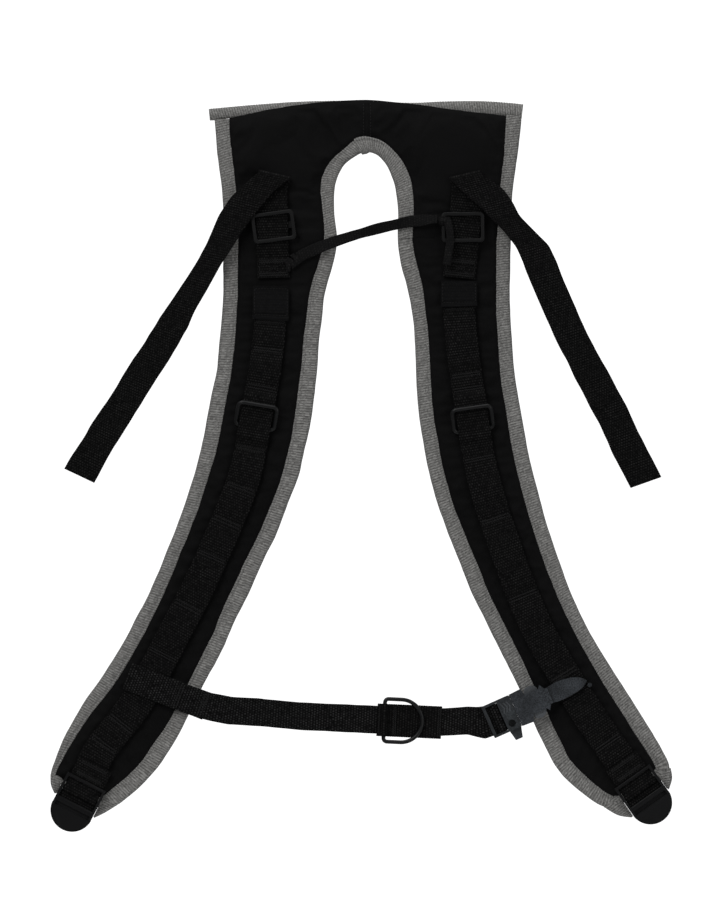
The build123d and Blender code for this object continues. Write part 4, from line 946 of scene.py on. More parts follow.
def ladder_distance():
    """Distance of each plan point from the nearer ladder's centre line."""
    gaps = []
    for side, head in (("left", (-82.0, -120.0)), ("right", (84.6, -120.0))):
        line = np.vstack([[head], resample(smooth(LADDER[side], 3), step=2.0)])
        gaps.append(distance_to(flat, line))
    return np.minimum(*gaps)


def padding_form():
    """Points and faces of the closed padding: the front's points, then the back's."""
    count = len(flat)
    x, z = flat.T
    rim_gap = distance_to(flat, OUTLINE)
    near = ladder_distance()
    row_gap = np.array([np.abs(np.array(HELD_ROWS["left" if px < 0 else "right"]) - pz).min()
                        for px, pz in flat])
    front = world(x, z, 6.5 + 4.2 * (1 - np.exp(-rim_gap / 5.2)))
    back = world(x, z, 3.7 - 3.5 * (1 - np.exp(-rim_gap / 4.6)))
    faces = closed_padding_faces(front)
    start = np.concatenate([front, back])

    # held: the back, the rim, under and beside the ladders, and the seam at the yoke's top
    held = np.ones(2 * count, bool)
    held[:count] = ((rim_gap < 0.6) | ((near < 13.5) & (z < -118))
                    | ((near < 19.0) & (row_gap < 2.6) & (z < -140))
                    | ((np.abs(x - SEAM_X) < 2.2) & (z > -20)))
    moved = simulate(start, faces, held)

    most = 2.6  # softly limits how far a point moves
    shift = moved - start
    size = np.linalg.norm(shift, axis=1, keepdims=True)
    shift = shift / np.maximum(size, 1e-9) * (most * np.tanh(size / most))
    shift[count:] = 0.0
    points = start + shift

    # light unevenness, calm near the rim and the ladders
    front_y, back_y = points[:count, 1], points[count:, 1]
    calm = np.clip(rim_gap / 10.0, 0, 1) * np.clip((near - 12.0) / 6.0, 0.15, 1)
    front_y -= calm * (0.35 * noise2(x, z, 3, 21.0)
                       + 0.22 * noise2(x + z * 0.4, z * 0.5, 7, 9.0))
    # wrinkles out from the seam
    wrinkle = bell(x, SEAM_X, 26.0) * np.clip((z + 120) / 40.0, 0, 1) * np.clip(rim_gap / 8, 0, 1)
    front_y -= wrinkle * 0.7 * noise2(x * 0.35 + 30, z + 0.5 * np.abs(x), 11, 8.0)
    # kept behind the ladders
    under = (near < 15.0) & (z < -118)
    front_y[under] = np.maximum(front_y[under], -10.85)
    back_y -= np.clip(rim_gap / 12.0, 0, 1) * 0.25 * (1 + noise2(x, z, 5, 18.0))
    return points, faces


def cloth_mesh(name, points, faces, cloths):
    """A mesh in fabric, cloth 0, and spacer mesh, cloth 1."""
    me = bpy.data.meshes.new(name)
    me.from_pydata((points * MM).tolist(), [], faces)
    me.materials.append(FABRIC)
    me.materials.append(MESH)
    me.polygons.foreach_set("material_index", cloths)
    return me


def subdivided_padding(points, faces):
    """The whole closed padding, subdivided once, as points, faces and cloth numbers."""
    back = range(len(triangles), 2 * len(triangles))
    me = cloth_mesh("padding", points, faces, [int(i in back) for i in range(len(faces))])
    ob = add_object("padding", me)
    sub = ob.modifiers.new("Subdivision", "SUBSURF")
    sub.levels = sub.render_levels = 1
    graph = bpy.context.evaluated_depsgraph_get()
    final = bpy.data.meshes.new_from_object(ob.evaluated_get(graph), depsgraph=graph)
    flat_points = np.empty(len(final.vertices) * 3, np.float32)
    final.vertices.foreach_get("co", flat_points)
    out_faces = [tuple(p.vertices) for p in final.polygons]
    cloths = [p.material_index for p in final.polygons]
    bpy.data.objects.remove(ob)
    bpy.data.meshes.remove(final)
    return flat_points.reshape(-1, 3).astype(float) / MM, out_faces, cloths


def padded_piece(side, keep, **where):
    """The faces of the closed padding whose centre passes keep, capped where it is cut."""
    used, faces, cloths = {}, [], []
    for face, cloth in zip(SUB_FACES, SUB_CLOTHS):
        if keep(SUB_POINTS[list(face)].mean(0)):
            faces.append(tuple(used.setdefault(v, len(used)) for v in face))
            cloths.append(cloth)
    name = side + "_padding"
    me = cloth_mesh(name, SUB_POINTS[list(used)], faces, cloths)
    bm = bmesh.new()
    bm.from_mesh(me)
    open_edges = [edge for edge in bm.edges if edge.is_boundary]
    if open_edges:
        caps = bmesh.ops.holes_fill(bm, edges=open_edges, sides=0)["faces"]
        bmesh.ops.triangulate(bm, faces=caps)
    bmesh.ops.recalc_face_normals(bm, faces=bm.faces)
    bm.to_mesh(me)
    bm.free()
    ob = add_object(name, me)
    me.polygons.foreach_set("use_smooth", [True] * len(me.polygons))
    me.set_sharp_from_angle(angle=math.radians(62))
    place(ob, "black_fabric", replaces=(side + "_cover", side + "_foam", side + "_lining"),
          **where)


SEAM_X = 1.8
padding, padding_faces = padding_form()
SUB_POINTS, SUB_FACES, SUB_CLOTHS = subdivided_padding(padding, padding_faces)
padded_piece("yoke", lambda c: c[2] >= SPLIT_Z, body="yoke")
padded_piece("left", lambda c: c[2] < SPLIT_Z and c[0] < 0, blend=fold_blend("left"))
padded_piece("right", lambda c: c[2] < SPLIT_Z and c[0] > 0, blend=fold_blend("right"))


# ------------------------------------------------------------ the seam down the yoke's middle
def front_depths(x, zs):
    """Depth of the padding's front down a line of heights, each from its nearest four points."""
    out = np.empty(len(zs))
    for k, z in enumerate(zs):
        gap = (flat[:, 0] - x) ** 2 + (flat[:, 1] - z) ** 2
        nearest = np.argpartition(gap, 4)[:4]
        weight = 1 / (gap[nearest] + 0.6)
        out[k] = (weight * -padding[nearest, 1]).sum() / weight.sum()
    return out


def yoke_seam():
    """A low ridge with a row of stitches on each side."""
    zs = np.linspace(15.0, -15.5, 50)
    angle = np.linspace(0, 2 * math.pi, 10, endpoint=False)
    rings = [world(SEAM_X + 1.7 * np.cos(angle), z, depth + 0.05 + 0.55 * np.sin(angle))
             for z, depth in zip(zs, gauss(front_depths(SEAM_X, zs), 4))]
    make("yoke_seam_ridge", tube(rings), FABRIC, "black_fabric", body="yoke")
    parts = []
    for x in (-1.4, 5.0):
        row = world(x, zs, gauss(front_depths(x, zs), 3) + 0.12)
        parts.append(stitch_row(row, pitch=2.6, length=1.9, radius=0.26))
    make_thread("yoke_seam_stitches", parts, body="yoke")


yoke_seam()

# ------------------------------------------------------------ edge binding
FACE_FROM = 5.4  # depths beyond this are on a tape's front

# the edge the tape folds over, from the top right round the tips and neck to the top left
edge_path = gauss(dedupe(np.concatenate([
    section(points, 1.0)
    for points in ([(128.9, 5.0)] + OUTER_R, TIP_R, INNER, TIP_L,
                   ([(-123.7, 1.5)] + OUTER_L)[::-1])
]), 0.5), 2.0)
edge_out = unit(gauss(normals2(edge_path), 3.0))
edge_travel = lengths(edge_path)
TAPE_LINE = np.concatenate([  # the tape's outer edge, the same way round
    section(points, 2.0)
    for points in (
        [(141.3, 5.0)] + YOKE_R_TAPE + PAD_R_A_TAPE[1:],
        [PAD_R_A_TAPE[-1], (250.0, -602.0), PAD_R_B_TAPE[-1]],
        PAD_R_B_TAPE[::-1],
        NECK_TAPE[::-1][1:],
        PAD_L_B_TAPE[1:],
        [PAD_L_B_TAPE[-1], (-261.0, -605.4), PAD_L_A_TAPE[-1]],
        ([(-135.6, 1.5)] + YOKE_L_TAPE + PAD_L_A_TAPE[1:])[::-1],
    )
])


def tape_widths():
    """Width of the tape at each point of the path, where its normal meets TAPE_LINE."""
    start, way = TAPE_LINE[:-1], np.diff(TAPE_LINE, axis=0)
    width = np.full(len(edge_path), np.nan)
    for i, (point, out) in enumerate(zip(edge_path, edge_out)):
        rel = start - point
        cross = out[0] * way[:, 1] - out[1] * way[:, 0]
        cross = np.where(np.abs(cross) < 1e-9, 1e-9, cross)
        reach = (rel[:, 0] * way[:, 1] - rel[:, 1] * way[:, 0]) / cross
        share = (rel[:, 0] * out[1] - rel[:, 1] * out[0]) / cross
        met = (share >= -0.01) & (share <= 1.01) & (reach > 0.8) & (reach < 16)
        if met.any():
            width[i] = reach[met].min()
    good = ~np.isnan(width)
    width = np.interp(np.arange(len(width)), np.nonzero(good)[0], width[good])
    width = np.clip(gauss(width, 5.0), 3.0, 13.5)
    return width + 0.22 * noise1(edge_travel, 4, 23.0) + 0.12 * noise1(edge_travel, 9, 7.0)


edge_width = tape_widths()


def binding_ring(i, lift):
    """Cross-section of the folded tape at one station of the path."""
    width, travel = edge_width[i], edge_travel[i]
    pucker = (0.16 * noise1(travel, 21, 5.2) + 0.20 * noise1(travel, 22, 17.0)
              + 0.05 * math.cos(2 * math.pi * travel / 3.2))
    k = width / 10.5
    out, depth = np.array([  # outwards from the path, depth
        (-1.9, 7.2), (-1.7, 7.95), (-1.2, 8.3), (-0.4, 8.42), (0.25, 8.1), (0.75, 7.82),
        (1.3, 8.12), (2.4 * k, 8.5), (4.0 * k, 8.62), (5.8 * k, 8.55), (width - 2.9, 8.3),
        (width - 1.7, 7.8), (width - 0.7, 6.9), (width - 0.05, 5.4), (width - 0.7, 3.8),
        (width - 1.8, 3.0), (width * 0.6, 2.5), (width * 0.3, 2.4), (0.0, 2.5), (-1.4, 2.6),
        (-1.9, 3.1),
    ]).T
    swell = pucker * np.clip((out + 1.9) / 2.0, 0, 1) * np.clip((width - out) / 2.5, 0, 1)
    depth = np.where(depth > FACE_FROM, depth + lift + swell, depth - 0.5 * swell)
    out = out + np.where(out < -1, 0.14 * noise1(travel, 31, 4.1), 0)
    return world(*(edge_path[i] + out[:, None] * edge_out[i]).T, depth)


def binding_piece(name, start, end, lift=0.0, flare=0.0, replaces=(), **where):
    """The tape between two stations, and its stitches in the groove near the inner edge."""
    rings = np.array([binding_ring(i, lift) for i in range(start, end)])
    # the cut end of a lapping tape stands a little proud of the tape under it
    for k in range(16 if flare else 0):
        middle = rings[-1 - k].mean(0)
        grow = 1 + flare * (1 - smoothstep(k, 9, 16))
        rings[-1 - k] = middle + (rings[-1 - k] - middle) * np.array([grow, 1.0, grow])
    make_tape(name, rings, edge_travel[start:end], BINDING, replaces=replaces, **where)
    groove = edge_path[start:end] + 0.72 * edge_out[start:end]
    make_tape_stitches(name + "_stitches", world(*groove.T, 7.92 + lift), 3.3, **where)


def split_stations(sign):
    """Path stations, inner and outer, where it crosses the split height on one side of X = 0."""
    above = edge_path[:, 1] - SPLIT_Z
    found = sorted((abs(edge_path[i, 0]), i) for i in range(len(edge_path) - 1)
                   if above[i] * above[i + 1] <= 0 and np.sign(edge_path[i, 0]) == sign)
    return found[0][1], found[-1][1]


def edge_binding():
    right_in, right_out = split_stations(1)
    left_in, left_out = split_stations(-1)
    lap = int(np.argmin((edge_path[:, 0] + 9.0) ** 2 + (edge_path[:, 1] + 20.0) ** 2))
    binding_piece("right_yoke_edge_tape", 0, right_out + 1, body="yoke",
                  replaces=("right_yoke_binding",))
    binding_piece("right_edge_tape", right_out, right_in + 1, blend=fold_blend("right"),
                  replaces=("right_binding",))
    binding_piece("neck_edge_tape", right_in, lap + 1, body="yoke", replaces=("neck_binding",),
                  lift=1.0, flare=0.20)
    binding_piece("neck_edge_tape_end", lap - 9, left_in + 1, body="yoke")
    binding_piece("left_edge_tape", left_in, left_out + 1, blend=fold_blend("left"),
                  replaces=("left_binding",))
    binding_piece("left_yoke_edge_tape", left_out, len(edge_path), body="yoke",
                  replaces=("left_yoke_binding",))


def tape_end(name, inner, outer, body):
    """The edge tape's end, carried down beside a ladder lock between two lines."""
    step = 0.6
    count = int(max(lengths(np.array(line))[-1] for line in (inner, outer)) / step)
    inner, outer = (resample(smooth(line, 1.5), count=count) for line in (inner, outer))
    share, depth = np.array([  # from inner line to outer, depth
        (0, 3.2), (0, 7.5), (0.07, 8.15), (0.3, 8.55), (0.6, 8.5), (0.8, 8.05), (0.93, 7.1),
        (1.0, 5.4), (0.93, 3.8), (0.8, 3.0), (0.5, 2.5), (0.1, 2.7),
    ]).T
    rings = []
    for k in range(count):
        sunk = 0.9 * smoothstep(k / (count - 1), 0.75, 1.0) * (depth > FACE_FROM)
        line = inner[k] + share[:, None] * (outer[k] - inner[k])
        rings.append(world(*line.T, depth - sunk + 0.12 * noise1(k * step, 51, 3.0)))
    make_tape(name, rings, np.arange(count) * step, BINDING, body=body)


TAPE_ENDS = {  # name: its two lines (X, Z), downwards
    "left_inner": ([(-233.9, -608.1), (-237.8, -614.0), (-241.45, -621.1), (-244.3, -626.9)],
                   [(-222.5, -616.2), (-234.2, -623.4), (-243.4, -627.9)]),
    "left_outer": ([(-271.4, -590.6), (-273.8, -598.7), (-277.3, -605.6)],
                   [(-282.9, -588.5), (-282.6, -597.8), (-279.4, -605.9)]),
    "right_inner": ([(226.5, -606.0), (230.4, -611.0), (236.2, -619.1), (241.1, -626.2)],
                    [(214.5, -618.0), (227.4, -625.5), (239.6, -627.6)]),
    "right_outer": ([(259.5, -584.5), (264.6, -591.6), (271.3, -601.2)],
                    [(275.0, -583.0), (276.3, -592.3), (273.4, -602.4)]),
}


def top_tape():
    """Ribbed tape along the top, behind the rolled edge of the face."""
    line = gauss(resample(smooth(TOP_TAPE, 3.0), step=0.6), 3.0)
    normal = normals2(line)
    travel = lengths(line)
    rings = []
    for i, s in enumerate(travel):
        x = line[i, 0]
        rib = 0.17 * math.cos(2 * math.pi * s / 2.4)
        height = 10.6 + 0.5 * noise1(s, 42, 44.0) + 2.6 * min(max((x - 82.0) / 20.0, 0), 1)
        up, depth = np.array([  # up from the line, depth
            (-height, 3.2), (-height + 0.9, 5.0 + rib), (-height + 3, 5.7 + rib),
            (-height / 2, 6.0 + rib), (-3.0, 5.7 + rib), (-1.2, 4.9 + rib),
            (-0.1 + rib * 0.8, 3.4), (-1.2, 1.9), (-3.2, 1.2 - rib * 0.5), (-height / 2, 0.9),
            (-height + 3, 1.1), (-height + 0.9, 1.7),
        ]).T
        up = up - 1.6 * math.exp(-((x - 12) / 52.0) ** 2)
        depth = depth + 0.35 * noise1(s, 41, 31.0) * 0.5
        # the ends curl forward a little
        curl = max(0, 1 - min(s, travel[-1] - s) / 7.0)
        up = np.where(up < -7, up - 0.9 * curl * (1 - curl), up)
        depth = depth + 1.1 * curl ** 2
        rings.append(world(*(line[i] + up[:, None] * normal[i]).T, depth))
    make_tape("top_edge_tape", rings, travel, TOP_BINDING, body="yoke",
              replaces=("top_binding",))
    low = line - normal * 8.4
    for side, shown in (("left", line[:, 0] < -100), ("right", line[:, 0] > 100)):
        make_tape_stitches("top_edge_tape_stitches_" + side, world(*low[shown].T, 5.55), 3.4,
                           body="yoke")


edge_binding()
for end_name, (inner_line, outer_line) in TAPE_ENDS.items():
    tape_end(end_name + "_tape_end", inner_line, outer_line, end_name.split("_")[0] + "_pad")
top_tape()

# ------------------------------------------------------------ ladder webbing
LADDER_TOP = -147.0


def fine_line(points):
    return gauss(resample(smooth(points, 3), step=WEB_STEP), 11)


def ladder_depth(points, side):
    """Level at each row of stitches, in a loop between them, raised over the ring's bar."""
    base = 13.55
    z = points[:, 1]
    rows = LADDER_ROWS[side]
    edges = [LADDER_TOP, *rows, LADDER[side][-1][1]]
    depth = np.full(len(z), base)
    for high, low in zip(edges[:-1], edges[1:]):
        t = np.clip((high - z) / (high - low), 0, 1)
        rise = min(2.1, 0.35 + 0.042 * (high - low))
        loop = base + rise * np.sin(math.pi * t) ** 0.65
        depth = np.where((z <= high) & (z > low), loop, depth)
    depth = depth + 0.18 * noise1(z, 61 + len(rows), 11.0)
    hump = smoothstep(-z, 243.5, 249.0) * (1 - smoothstep(-z, 284.0, 292.0))
    depth = depth * (1 - hump) + hump * (16.75 + 0.12 * np.sin(z * 0.5))
    high, low = LEVEL_ZONE[side]
    level = smoothstep(-z, -high - 5, -high + 3) * (1 - smoothstep(-z, -low - 3, -low + 5))
    depth = depth * (1 - level) + 14.3 * level
    return gauss(depth, 2.2)


def ladder(side):
    """The looped webbing, the flat one behind it and two zigzags of thread at each row."""
    line = LADDER[side]
    bottom = line[-1][1] + 0.8
    blend = fold_blend(side)
    mesh = along_line(line, lambda points: ladder_depth(points, side), LADDER_TOP, bottom,
                      fuzz=0.18, seed=3)
    make_webbing(side + "_ladder_loops", mesh, blend=blend, smooth_angle=70,
                 replaces=(side + "_ladder_webbing",))
    mesh = along_line(line, lambda points: 11.55 + 0.1 * noise1(points[:, 1], 66, 14.0),
                      LADDER_TOP, bottom, step=1.1, half=13.4, thick=1.0, rib=0.08)
    make_webbing(side + "_ladder_backing", mesh, blend=blend, smooth_angle=70,
                 replaces=(side + "_base_tape", side + "_ladder_pleats"))
    points = fine_line(line)
    points = points[(points[:, 1] <= LADDER_TOP) & (points[:, 1] >= bottom)]
    depth = ladder_depth(points, side)
    normal = normals2(points)
    parts = []
    for row in LADDER_ROWS[side]:
        for shift in (-1.15, 1.15):
            i = int(np.argmin(np.abs(points[:, 1] - row - shift)))
            across = world(*normal[i], 0)
            up = np.array([-across[2], 0, across[0]])
            parts.append(bartack(world(*points[i], depth[i] + 0.78), across, up,
                                 half=12.6, zig=1.5, count=15, radius=0.27))
    make_thread(side + "_ladder_bartacks", parts, blend=blend, replaces=(side + "_bartacks",))


def head_patch(side):
    """Smooth cloth patch over the ladder's head, hemmed at its foot and stitched all round."""
    line = [PATCH_HEAD[side]] + LADDER[side]
    top, bottom = PATCH_ENDS[side]

    def depth(points):
        z = points[:, 1]
        return (15.75 + 0.25 * noise1(z, 71, 12.0) + 0.45 * bell(z, bottom + 1.6, 1.3)
                - 0.5 * bell(z, bottom + 4.6, 1.2) + 0.4 * bell(z, top, 1.5))

    mesh = along_line(line, depth, top, bottom, step=0.7, half=16.3, thick=0.95, rib=0.0,
                      columns=16, fuzz=0.25, seed=8)
    make_webbing(side + "_head_patch", mesh, PATCH_CLOTH, smooth_angle=70,
                 blend=fold_blend(side), replaces=(side + "_tab",))
    points = fine_line(line)
    z = points[:, 1]
    normal = normals2(points)
    rows = []
    for row_z in (bottom + 4.4, top - 2.2):
        i = int(np.argmin(np.abs(z - row_z)))
        aside = np.outer(np.linspace(-14.6, 14.6, 40), world(*normal[i], 0))
        rows.append(world(*points[i], 16.05) + aside)
    between = (z < top - 2) & (z > bottom + 4)
    for offset in (-14.7, 14.7):
        rows.append(world(*(points + normal * offset)[between].T, 16.25))
    parts = [stitch_row(row, pitch=2.6, length=1.9, radius=0.24) for row in rows]
    make_thread(side + "_head_patch_stitches", parts, blend=fold_blend(side))


# ------------------------------------------------------------ anchor webbing, tri-glides
def anchor(side):
    """Webbing from above the fold up over the tri-glide's bar to the crease."""
    start = np.array(ANCHOR_END[side])
    end = CREASE[side].at(0, -12.0)[[0, 2]]
    count = int(np.linalg.norm(end - start) / WEB_STEP)
    line = start + (end - start) * np.linspace(0, 1, count)[:, None]
    travel = lengths(line)
    bar = np.linalg.norm(GLIDE[side].origin[[0, 2]] - start)
    depth = (13.1 + 2.2 * smoothstep(travel, 17, 27) + 0.35 * bell(travel, bar, 2.4)
             - 0.25 * bell(travel, bar + 7.5, 2.2) - 0.25 * bell(travel, bar - 7.5, 2.2)
             + 0.1 * np.sin(travel * 0.9) * (1 - smoothstep(travel, 15, 20))
             + 0.12 * noise1(travel, 77, 6.0))
    way = unit(end - start)
    across = np.array([way[1], 0, -way[0]])
    up = np.array([way[0], 0, way[1]])
    blend = fold_blend(side)
    make_webbing(side + "_anchor_strap",
                 strap(world(*line.T, depth), across, fuzz=0.15, seed=5),
                 blend=blend, smooth_angle=70, replaces=(side + "_anchor_webbing",))
    make_webbing(side + "_anchor_strap_under",
                 strap(world(*line[:38].T, 11.9), across, half=14.2, thick=1.2, rib=0.1),
                 blend=blend, smooth_angle=70)

    # a stitched box with a cross in it
    def spots(distance, depth):
        return world(*(start + np.outer(distance, way)).T, depth)

    parts = []
    for distance in (2.6, 14.5):
        base = spots([distance], 14.0)[0]
        parts.append(bartack(base, across, up, half=12.8, zig=1.6, count=16, radius=0.28))
        parts.append(bartack(base + up * 1.9, across, up,
                             half=12.8, zig=1.2, count=16, radius=0.25))
    for sign in (-1, 1):
        edge = spots(np.linspace(3, 14, 20), 13.95) + across * 12.6 * sign
        distance = np.linspace(2.6, 14.4, 40)
        slant = spots(distance, 13.95) + np.outer(12.0 * sign * (distance - 8.5) / 6.0, across)
        for row in (edge, slant):
            parts.append(stitch_row(row, pitch=2.4, length=1.8, radius=0.25))
    make_thread(side + "_anchor_stitches", parts, blend=blend,
                replaces=("yoke_bartacks",) if side == "left" else ())


# ------------------------------------------------------------ lifter straps
def lifter(side):
    """Webbing that climbs behind the crease, turns over it to the front and hangs down."""
    crease = CREASE[side]
    sign = -1 if side == "left" else 1
    turn = 2.35
    angle = np.radians(np.arange(-90, 91, 12))
    head = np.concatenate([
        crease.at(0, np.arange(-12.5, 0, 0.55), -turn),
        crease.at(0, turn * np.cos(angle), turn * np.sin(angle)),
    ])
    outer = [crease.at(sign * WEB_HALF)[[0, 2]]] + LIFTER_OUTER[side]
    inner = [crease.at(-sign * 14.0)[[0, 2]]] + LIFTER_INNER[side]
    count = int(lengths(np.array(outer))[-1] / WEB_STEP)
    # the edges are smoothed, but not at their ends
    order = np.arange(count)
    share = (np.clip(order / 12.0, 0, 1) * np.clip((count - 1 - order) / 6.0, 0, 1))[:, None]
    outer, inner = (line * (1 - share) + gauss(line, 5.0) * share
                    for line in (resample(outer, count=count), resample(inner, count=count)))
    middle = (outer + inner) / 2
    travel = lengths(middle)
    loose = smoothstep(travel, 20, 60)
    lift = (0.9 * smoothstep(travel, 4, 40) + 0.55 * noise1(travel, 81 + sign, 46.0) * loose
            + 0.3 * noise1(travel, 83, 19.0) * loose)
    twist = 0.9 * noise1(travel, 84 + sign, 60.0) * loose
    tail = world(*middle.T, 20.0 + np.clip(lift, -0.2, 3.0))[1:]
    span = world(*((outer - inner) * sign).T, twist)[1:]
    width = np.concatenate([np.ones(len(head)),
                            np.linalg.norm(span, axis=1) / 2 / WEB_HALF])
    mesh = strap(np.concatenate([head, tail]),
                 np.concatenate([np.tile(crease.x, (len(head), 1)), span]),
                 rib=0.17, columns=14, width=width, fuzz=0.2, seed=12 + sign)
    make_webbing(side + "_lifter_webbing", mesh, replaces=(side + "_lifter_strap",),
                 blend=("yoke", side + "_lifter", (0, -16.05 * MM, 0), (0, -19.25 * MM, 0)))


# ------------------------------------------------------------ webbing at the ladder locks
def lock_webbing(side):
    """The loop round the lock's bar and the end of a webbing between its two bars."""
    lock = LOCK[side]
    angle = np.radians(np.arange(90, 271, 15))
    way = np.concatenate([  # up the lock, to the front of its plane
        [(31.0, 2.75), (24.0, 2.7), (16.0, 2.3), (8.0, 2.6), (3.0, 2.85)],
        2.83 * np.stack([np.cos(angle), np.sin(angle)], 1),
        [(3.0, -2.1), (6.0, -0.9), (12.0, -0.3), (23.5, -0.35)],
    ])
    centre = lock.at(0, *gauss(resample(way, step=WEB_STEP), 1.0).T)
    make_webbing(side + "_lock_loop_strap",
                 strap(centre, lock.x, half=16.3, thick=1.35, fuzz=0.15, seed=15),
                 body=side + "_pad", replaces=(side + "_lock_loop",))
    ys = np.arange(-1.4, -9.3, -0.5)
    make_webbing(side + "_lock_insert",
                 strap(lock.at(0, ys, -0.35 + 0.12 * np.cos(ys)), lock.x, half=17.1,
                       thick=1.25, fuzz=0.12, seed=44),
                 body=side + "_lock", replaces=(side + "_lock_webbing",))
    parts = [bartack(lock.at(0, y + shift, front), lock.x, lock.y,
                     half=12.4, zig=1.4, count=15, radius=0.26)
             for y, front in ((27.5, 3.5), (17.4, 3.05)) for shift in (-0.8, 0.8)]
    make_thread(side + "_lock_stitches", parts, body=side + "_pad")


for build in (ladder, head_patch, anchor, lifter, lock_webbing):
    for harness_side in SIDES:
        build(harness_side)


# ------------------------------------------------------------ chest strap
def chest_way():
    """Stations (point, width direction) of the chest strap, from its sewn end on the left pad."""
    way = []
    # behind and round the left loop's bar, and out again in front
    for x, depth in ((58, 14.45), (40, 14.45), (24, 14.35), (12, 13.1), (0, 12.8), (-12, 12.8),
                     (-16.5, 12.85)):
        way.append((CHEST_LOOP.at(x, 0, depth), CHEST_LOOP.y))
    for angle in np.radians(np.arange(-60, 61, 20)):
        x, depth = -17.6 - 1.55 * math.cos(angle), 14.35 + 1.55 * math.sin(angle)
        way.append((CHEST_LOOP.at(x, 0, depth), CHEST_LOOP.y))
    for x, depth in ((-16.0, 15.95), (-8, 16.05), (0, 16.1), (12, 16.1), (24, 15.95),
                     (36, 15.85)):
        way.append((CHEST_LOOP.at(x, 0, depth), CHEST_LOOP.y))
    # across the gap between the pads
    for x, z, degrees in ((-150.5, -524.0, -19), (-140.5, -527.4, -15), (-121.5, -531.2, -7.5),
                          (-96.0, -532.6, -3.6)):
        way.append((world(x, z, STRAP_DEPTH), tilted_up(degrees)))
    for x, y in ((-98.5, 0), (-70, 0), (-40, 0), (-20, 0), (0, 0), (20, 0.2), (30, 0.6),
                 (40, 1.6), (52, 3.0)):
        way.append((STRAP.at(x, y), STRAP.y))
    # round the plug's bar and back behind itself
    for x, y, degrees, depth in ((-34.0, 4.9, 0, 15.8), (-30.0, 3.3, 4, 15.75),
                                 (-26.0, 1.6, 13, 15.8), (-22.5, 0.5, 21, 16.6),
                                 (-19.2, 0, 24, 18.6)):
        way.append((BUCKLE.at(x, y, depth - BUCKLE_DEPTH), tilted_up(degrees)))
    for angle in np.radians(np.arange(115, -116, -18)):
        point = BUCKLE.at(-15.9 + 2.75 * math.cos(angle), 0, 2.75 * math.sin(angle))
        way.append((point, BUCKLE.y))
    for x, degrees, depth in ((-20.2, 24, 14.0), (-26.0, 24, 13.7), (-33.0, 14, 13.95)):
        way.append((BUCKLE.at(x, 0, depth - BUCKLE_DEPTH), tilted_up(degrees)))
    for x, y in ((52, 3.0), (40, 1.6), (34, 1.0)):
        way.append((STRAP.at(x, y, -1.45), STRAP.y))
    return way


def chest_strap():
    points, across = (np.array(column) for column in zip(*chest_way()))
    travel = lengths(points)
    fine = np.arange(0, travel[-1], WEB_STEP)
    centre = gauss(rows_at(fine, travel, points), 2.2)
    across = unit(gauss(rows_at(fine, travel, across), 4.0))
    free = smoothstep(fine, 130, 160) * (1 - smoothstep(fine, 270, 290))
    centre = centre + FRONT * (0.28 * noise1(fine, 91, 30.0) * free)[:, None]
    near_plug = np.exp(-(((centre - BUCKLE.at(-20.0)) ** 2).sum(1)) / 16.0 ** 2)
    mesh = strap(centre, across, half=12.5, thick=1.3, rib=0.14, pitch=1.9,
                 width=1 + 0.045 * near_plug, fuzz=0.15, seed=18)
    make_webbing("chest_strap_webbing", mesh, CHEST_WEB, replaces=("chest_webbing",),
                 blend=("left_pad", "plug", (0.0685, 0, -0.541), (0.1115, 0, -0.541)))
    parts = [bartack(CHEST_LOOP.at(x, 0, 16.6), CHEST_LOOP.y, CHEST_LOOP.x,
                     half=10.6, zig=1.5, count=13, radius=0.26)
             for x in (29.0, 31.5, 52.0, 54.5)]
    make_thread("chest_strap_bartacks", parts, body="left_pad")


def chest_sleeve():
    """Webbing sleeve on the chest strap, humped over the ring's straight bar."""
    xs = np.arange(-29.2, 29.25, 0.5)
    front = 1.5 + 5.15 * bell(xs, -22.8, 3.3) + 0.25 * noise1(xs, 95, 9.0)
    parts = [strap(STRAP.at(xs, 0, height), STRAP.y, thick=1.3, pitch=2.1, columns=14,
                   fuzz=0.15, seed=seed)
             for height, seed in ((front, 22), (-1.55, 23))]
    for sign in (-1, 1):
        parts.append(strap(STRAP.at(xs, sign * 14.2), FRONT, half=1.9, thick=0.9, rib=0.1,
                           pitch=2.1, columns=3))
    make_webbing("chest_sleeve", join_meshes(parts), body="keeper", replaces=("chest_keeper",))
    rows = ((-27.4, 1.3), (-14.2, 0.55), (-12.6, 0.45), (27.4, 0.0), (25.8, 0.0))  # x, rise
    parts = [bartack(STRAP.at(x, 0, 2.2 + rise * 0.9), STRAP.y, STRAP.x,
                     half=12.6, zig=1.3, count=14, radius=0.26)
             for x, rise in rows]
    make_thread("chest_sleeve_stitches", parts, body="keeper")


chest_strap()
chest_sleeve()


